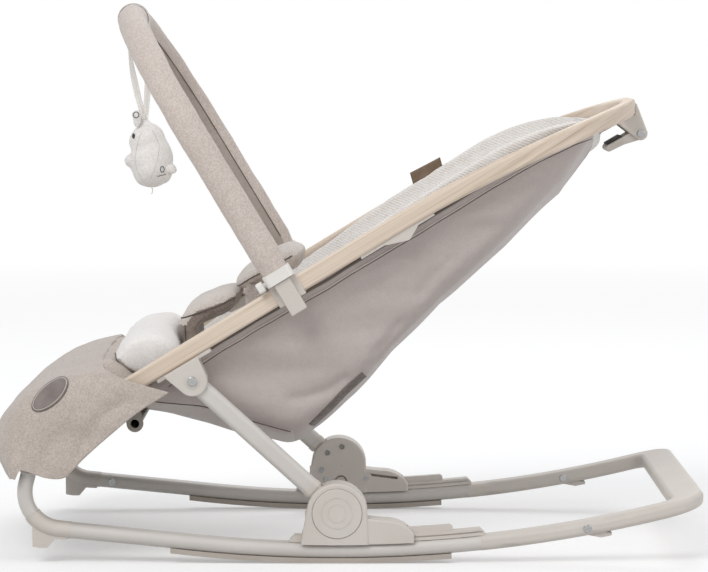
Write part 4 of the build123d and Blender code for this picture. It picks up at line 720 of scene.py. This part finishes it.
def liner():
    """Ribbed cotton pad inside the sling, its wings turned out over the wood."""
    rows, foot, stations = bag_sheet(-214.0, 276.0, 17.0, True, 20.0, 92, 110)
    shaped = []
    for i, row in enumerate(rows):
        k = min(max(i - foot, 0), len(stations) - 1)
        rim = stations[k][1]
        new = []
        for x, y, z in row:
            out = 9.0 * smooth((z - rim + 14.0) / 30.0)
            new.append(mm(x, y + (out if y > 0 else -out) * (abs(y) > 40), z))
        shaped.append(new)
    made = sheet_of("seat_liner_pad", shaped)
    ruffle(made, 0.045, 0.0020, (0.8, 1.0, 1.4), 21.0)
    ruffle(made, 0.016, 0.0008, (1.0, 1.0, 1.0), 5.0)
    modify(made, "SOLIDIFY", thickness=0.009, offset=0.0)
    rounded(made)
    wear(made, RIBBED, "seat", "seat_liner", slot="slot_09")


# ---------------------------------------------------------------- stuffed pads
def chain_outline(points, radii, count):
    """Closed outline round a chain of circles, as X and Z."""
    top, under = [], []
    last = len(points) - 1
    for i, (p, r) in enumerate(zip(points, radii)):
        a, b = points[max(i - 1, 0)], points[min(i + 1, last)]
        run = Vector((b[0] - a[0], b[1] - a[1])).normalized()
        top.append((p[0] - run.y * r, p[1] + run.x * r))
        under.append((p[0] + run.y * r, p[1] - run.x * r))
        if i == 0:
            nose = (p[0] - run.x * r, p[1] - run.y * r)
        if i == last:
            tail = (p[0] + run.x * r, p[1] + run.y * r)
    return catmull([nose] + top + [tail] + under[::-1] + [nose], count + 1)[:-1]


def pillow(name, points, radii, half, count=48, slices=34, roundness=4.0, tuck=0.5):
    """A closed pad: a chain outline across Y, thinning and drawing in towards both sides."""
    rows = []
    mid = (sum(p[0] for p in points) / len(points), sum(p[1] for p in points) / len(points))
    for j in range(slices + 1):
        t = -cos(pi * j / slices)
        thin = max(0.0, 1 - abs(t) ** roundness) ** (1 / roundness)
        drawn = 1 - tuck * (1 - thin)
        spine = [(mid[0] + (p[0] - mid[0]) * drawn, mid[1] + (p[1] - mid[1]) * drawn) for p in points]
        ring = chain_outline(spine, [max(r * thin, 0.05) for r in radii], count)
        rows.append([mm(x, t * half, z) for x, z in ring + ring[:1]])
    return sheet_of(name, rows, closed=True)


def puff(piece, voxel, pressure, cap, frames=16):
    """Remeshes the pad, lets pressure fill it as cloth, and keeps every point within cap of its start."""
    modify(piece, "REMESH", mode="VOXEL", voxel_size=voxel)
    cloth = piece.modifiers.new("cloth", "CLOTH")
    settings = cloth.settings
    settings.use_pressure = True
    settings.uniform_pressure_force = pressure
    settings.quality = 6
    settings.mass = 0.3
    settings.tension_stiffness = 12.0
    settings.compression_stiffness = 12.0
    settings.bending_stiffness = 0.4
    settings.effector_weights.gravity = 0.0
    cloth.point_cache.frame_start = 1
    cloth.point_cache.frame_end = frames
    scene = bpy.context.scene
    for step in range(1, frames + 1):
        scene.frame_set(step)
    grown = piece.evaluated_get(bpy.context.evaluated_depsgraph_get())
    places = [v.co.copy() for v in grown.data.vertices]
    piece.modifiers.remove(cloth)
    scene.frame_set(1)
    for vert, place in zip(piece.data.vertices, places):
        move = place - vert.co
        if move.length > cap:
            move *= cap / move.length
        vert.co += move


def pad(name, points, radii, half, crease=0.0016, **shape):
    """A stuffed pad: pillow, cloth under pressure, creases of the given depth, one subdivision."""
    made = pillow(name, points, radii, half, **shape)
    puff(made, 0.0045, 3.0, 0.004)
    modify(made, "SMOOTH", factor=0.5, iterations=3)
    ruffle(made, 0.022, crease, (1, 1, 1), len(name))
    rounded(made)
    choose(made)
    bpy.ops.object.shade_smooth()
    return made


# ---------------------------------------------------------------- toy bar sleeve
def bar_place(h):
    """Point on the arch's middle line and its direction; h from 0 at one foot to 1 at the other."""
    straight, rise = BAR_SHOULDER - BAR_FOOT, BAR_TOP - BAR_SHOULDER
    d = h * (2 * straight + BAR_ARC)
    if d < straight:
        return -BAR_HALF, BAR_FOOT + d, 0.0, 1.0
    if d > straight + BAR_ARC:
        return BAR_HALF, BAR_SHOULDER - (d - straight - BAR_ARC), 0.0, -1.0
    a = pi * (1 - (d - straight) / BAR_ARC)
    dy, dn = BAR_HALF * sin(a), -rise * cos(a)
    size = sqrt(dy * dy + dn * dn)
    return BAR_HALF * cos(a), BAR_SHOULDER + rise * sin(a), dy / size, dn / size


def sleeve_point(h, a, grow=0.0):
    """Point on the sleeve at h along it and angle a round it; a is 0 on the head side, 90 degrees outside."""
    y, n, dy, dn = bar_place(h)
    swell = 1.0 - 0.12 * (1 - smooth(min(h, 1 - h) * 220 / 4.0))
    along = (17.0 * swell + grow) * cos(a)
    out = ((12.5 + 4.2 * smooth((n - 290.0) / 60.0)) * swell + grow) * sin(a)
    x, z = on_frame(BAR_ALONG + along, n + dy * out)
    return mm(x, y - dn * out, z)


def toy_sleeve():
    """Knit tube over the bar, dotted, and plainer and darker on the quarter from its foot side round to its inner
    side, with its seam.
    """
    rows = [[sleeve_point(i / 220, 2 * pi * j / 40) for j in range(41)] for i in range(221)]
    made = sheet_of("toy_bar_knit", rows, closed=True)
    ruffle(made, 0.035, 0.0008, (1, 1, 1), 7.0)
    ruffle(made, 0.010, 0.0003, (1, 1, 1), 2.0)
    wear(made, KNIT, "toy_bar", "toy_bar_sleeve", slot="slot_13")
    made.data.materials.append(KNIT_DARKER_QUARTER)
    for face in made.data.polygons:
        # these faces, the quarter from the foot side round to the inner side, get the darker and plainer knit
        if 20 <= face.index % 40 < 32:      # the inner side, of 40 faces round
            face.material_index = 1
    path = [sleeve_point(i / 200, radians(288.0), 0.2) for i in range(3, 198)]
    wear(tube("sleeve_seam", path, 0.0007), DARK_THREAD_AND_SHADOW, "toy_bar")


# ---------------------------------------------------------------- toy
def balls(name, parts, voxel, relax):
    """One soft body from overlapping ellipsoids given as place and half sizes in millimetres."""
    made = None
    for place, size in parts:
        deselect()
        bpy.ops.mesh.primitive_uv_sphere_add(segments=32, ring_count=20, radius=0.001, location=mm(*place),
                                             scale=size)
        bpy.ops.object.transform_apply(location=True, rotation=True, scale=True)
        ball = bpy.context.object
        if made is not None:
            made.select_set(True)
            bpy.context.view_layer.objects.active = made
            bpy.ops.object.join()
            ball = bpy.context.object
        made = ball
    made.name = name
    modify(made, "REMESH", mode="VOXEL", voxel_size=voxel)
    modify(made, "SMOOTH", factor=0.6, iterations=relax)
    choose(made)
    bpy.ops.object.shade_smooth()
    return made


def mark(name, piece, points, radius):
    """Dark embroidery on the near side, along X and Z points."""
    path = [place_on(piece, x, z, LEFT, 0.2) for x, z in points]
    wear(tube(name, [p for p in path if p is not None], radius), EYE_THREAD, "toy")


def oval(x, z, wide, tall):
    """X and Z points round an oval."""
    return [(x + wide * cos(2 * pi * k / 24), z + tall * sin(2 * pi * k / 24)) for k in range(25)]


def toy():
    """Plain plush animal: belly, head, paw, nose and crown, with two ears, two flippers and its embroidery."""
    made = balls("toy_plush", (((-230, 0, 446), (26, 24, 33)), ((-234, 0, 466), (22, 20, 25)),
                               ((-218, 0, 434), (13, 16, 16)), ((-254, 0, 446), (8, 9, 8)),
                               ((-237, 0, 487), (8, 7, 8))), 0.002, 4)
    ruffle(made, 0.016, 0.0018, (1, 1, 1), 2.0)
    wear(made, PLUSH, "toy", "toy_body", slot="slot_09")
    for side, name in ((LEFT, "left"), (RIGHT, "right")):
        ear = balls("toy_ear_" + name, (((-246, side * 9, 494), (5, 3.5, 9)),
                                        ((-247, side * 9, 500), (5.5, 3.5, 5.5))), 0.0013, 4)
        flipper = balls("toy_flipper_" + name, (((-208, side * 12, 436), (7, 4, 6)),
                                                ((-204, side * 12, 434), (4, 3, 4))), 0.0014, 3)
        for small in (ear, flipper):
            wear(small, PLUSH, "toy")
        if side == LEFT:
            mark("toy_ear_stitching", ear, oval(-247, 500, 3.2, 3.4), 0.0005)
    mark("toy_eye_stitching", made, oval(-250, 475, 1.2, 2.4) + oval(-250, 475, 0.5, 1.4), 0.0008)
    mark("toy_paw_stitching", made, oval(-216, 436, 2.2, 3.4), 0.0005)
    mark("toy_paw_line", made, [(-222 + k, 427.5 + 0.25 * k) for k in range(11)], 0.0004)
    for name, line in (("front", ((-240, 480), (-246, 462), (-247, 440), (-238, 420))),
                       ("side", ((-228, 482), (-220, 465), (-222, 445), (-230, 425)))):
        seam("toy_seam_" + name, made, line, THREAD_PALE, 0.4, 0.1, body="toy")
    tail = [mm(-230 + 1.5 * sin(k / 3), -1, 415 - k) for k in range(10)]
    wear(tube("toy_thread_tail", tail, 0.0005), THREAD_PALE, "toy")


def toy_ribbon():
    """Organza ribbon round the bar, gathered and half turned above the toy's head."""
    foot = (-237.0, 491.0)      # where the two ends are sewn to the toy
    ring = 18.4                 # radius of the loop round the bar
    rows = []
    for k in range(81):
        t = k / 80
        near = t / 0.3 if t < 0.3 else (1 - t) / 0.3
        a = radians(215.0 - 250.0 * min(max((t - 0.3) / 0.4, 0.0), 1.0))
        x, z = on_frame(BAR_ALONG + ring * cos(a), BAR_TOP + ring * sin(a))
        half, turn = 9.0, 0.0
        if near < 1.0:
            x = foot[0] + (x - foot[0]) * near + (1.5 if t > 0.5 else -3.0) * sin(pi * near)
            z = foot[1] + (z - foot[1]) * near
            half = 3.5 + 5.5 * smooth(near)
            turn = radians(62.0) * (1 - smooth(near))
        rows.append([mm(x + w * half * sin(turn), w * half * cos(turn) + 0.7 * sin(5 * w), z + 0.6 * sin(4 * w))
                     for w in [q / 5 - 1 for q in range(11)]])
    made = sheet_of("toy_ribbon_organza", rows)
    modify(made, "SOLIDIFY", thickness=0.0006, offset=0.0)
    wear(made, RIBBON, "toy", "toy_ribbon", slot="slot_09")


# ---------------------------------------------------------------- straps, badge and tag
def strap():
    """Webbing from each end of the waist pad down to the side of the seat, sagging a little."""
    for side, name in ((LEFT, "left"), (RIGHT, "right")):
        rows = []
        for i in range(25):
            t = i / 24
            y = side * (70.0 + 98.0 * t)
            drop = 34.0 * t + 5.0 * sin(pi * t)
            rows.append([mm(-104.0 + w + 2.0 * t, y, 305.0 - drop + 0.8 * sin(w / 2.2))
                         for w in [24.0 * (k / 12 - 0.5) for k in range(13)]])
        made = sheet_of("strap_webbing_" + name, rows)
        modify(made, "SOLIDIFY", thickness=0.0018, offset=0.0)
        wear(made, WEBBING, "seat", slot="slot_06")
        if side == LEFT:
            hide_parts("harness_straps")


def badge(rest):
    """Bare oval patch on the near shoulder, stitched round its edge."""
    turn = radians(40.0)

    def spot(wide, tall, j, lift):
        """Point j of 48 round an oval of those half sizes, lifted off the leg rest."""
        a = 2 * pi * j / 48
        p, q = wide * cos(a), tall * sin(a)
        x, z = -331 + p * cos(turn) - q * sin(turn), 190 + p * sin(turn) + q * cos(turn)
        return tuple(place_on(rest, x, z, LEFT, lift))

    rows = [[spot(25.0 * i / 8, 11.5 * i / 8, j, 1.2 if i < 8 else 0.1) for j in range(49)] for i in range(9)]
    made = sheet_of("badge_patch", rows, closed=True)
    modify(made, "SOLIDIFY", thickness=0.0012, offset=0.0)
    wear(made, LEATHER, "seat", "leg_badge", slot="slot_07")
    ring = [spot(22.8, 9.4, j, 1.7) for j in range(49)]
    wear(tube("badge_stitching", ring, 0.0004), THREAD_PALE, "seat")


def tag():
    """Folded leather loop on the far wing."""
    rows = []
    for i in range(15):
        t = i / 14
        rows.append([mm(80 + 37 * t + 4 * w, 182.0 - 2.0 * sin(pi * t) - 1.2 * w, 424 + 19.5 * t - 14 * w)
                     for w in [k / 6 for k in range(7)]])
    made = sheet_of("leather_tag", rows)
    modify(made, "SOLIDIFY", thickness=0.0022, offset=0.0)
    wear(made, LEATHER_BROWN, "seat", "liner_tag", slot="slot_07")


# ---------------------------------------------------------------- making the soft pieces
rest = leg_rest()
wear(rest, MELANGE, "seat", "leg_rest", slot="slot_06")
collar()
side_seam = [mm(*rest_point(0.99, -0.985 + 0.004 * k)) for k in range(95)]
wear(tube("rest_side_seam", side_seam, 0.0009), DARK_THREAD_AND_SHADOW, "seat")
badge(rest)

bag = sling()
for side, name in ((LEFT, "left"), (RIGHT, "right")):
    # the first line is not piping: it is a dark tube of painted shadow just under the wood; the others are the hem's
    # stitching and its fold
    for part, below, finish, radius, lift in (("rim_piping_", 4.0, DARK_THREAD_AND_SHADOW, 1.6, 0.4),
                                              ("hem_stitching_", 15.5, DARK_THREAD_AND_SHADOW, 0.5, 0.1),
                                              ("hem_fold_", 13.0, TAFFETA_PALE, 1.0, 0.2)):
        line = [(st[0], st[1] - below) for st in bag_stations(-200.0, 285.0, 24)]
        seam("sling_" + part + name, bag, line, finish, radius, lift, side)
seam("sling_bottom_seam", bag, BOTTOM_SEAM, radius=0.7)
strip("sling_zip", bag, ((22, 209), (0.3, 189.5), (-16.8, 171.2), (-38, 149)), 8.0, ZIP_MESH)
liner()

cushion = pad("front_cushion_pad", ((-246, 227), (-229, 229), (-210, 232)), (21, 24, 22), 168, crease=0.0012,
              roundness=8.0, tuck=0.2)
wear(cushion, JERSEY, "seat", "front_cushion", slot="slot_09")
tint(cushion, JERSEY_GREY, lambda c, n: -0.75 * n.x - 0.66 * n.z > 0.62)
seam("cushion_piping", cushion, ((-264, 236), (-262, 226), (-254, 217), (-242, 210), (-228, 207)), radius=0.9)

crotch = pad("crotch_pad_cover", ((-173, 176), (-178, 205), (-182, 236), (-185, 255), (-174, 269), (-154, 279),
                                 (-128, 288)), (7, 8, 8.5, 9.5, 11, 11, 9), 77, roundness=5.0)
# the crotch pad wears painted shade, a darker copy of the melange, and painted light, a lighter copy, on its upward
# faces
wear(crotch, MELANGE_PAINTED_SHADE, "seat", "crotch_pad", slot="slot_06")
tint(crotch, MELANGE_PAINTED_LIT, lambda c, n: n.z - 0.5 * n.x > 0.25 and c.z > 255)
seam("crotch_piping", crotch, ((-192.7, 262.7), (-181, 266.8), (-164.7, 272.6), (-146, 279.7), (-129, 288)),
     radius=0.9)
seam("crotch_leg_seam", crotch, ((-187, 256), (-186, 240), (-184, 220), (-181, 200)))

waist = pad("waist_pad_cover", ((-122, 303), (-104, 314), (-82, 324), (-60, 335)), (8, 11, 13, 14), 76)
wear(waist, MELANGE, "seat", "waist_pad", slot="slot_06")
# painted light: a lighter copy of the melange on the waist pad's upward faces
tint(waist, MELANGE_PAINTED_LIT, lambda c, n: n.z - 0.5 * n.x > 0.3)
seam("waist_piping", waist, ((-126, 300), (-110, 311), (-88, 322), (-62, 337)))

strap()
tag()
toy_sleeve()
toy()
toy_ribbon()
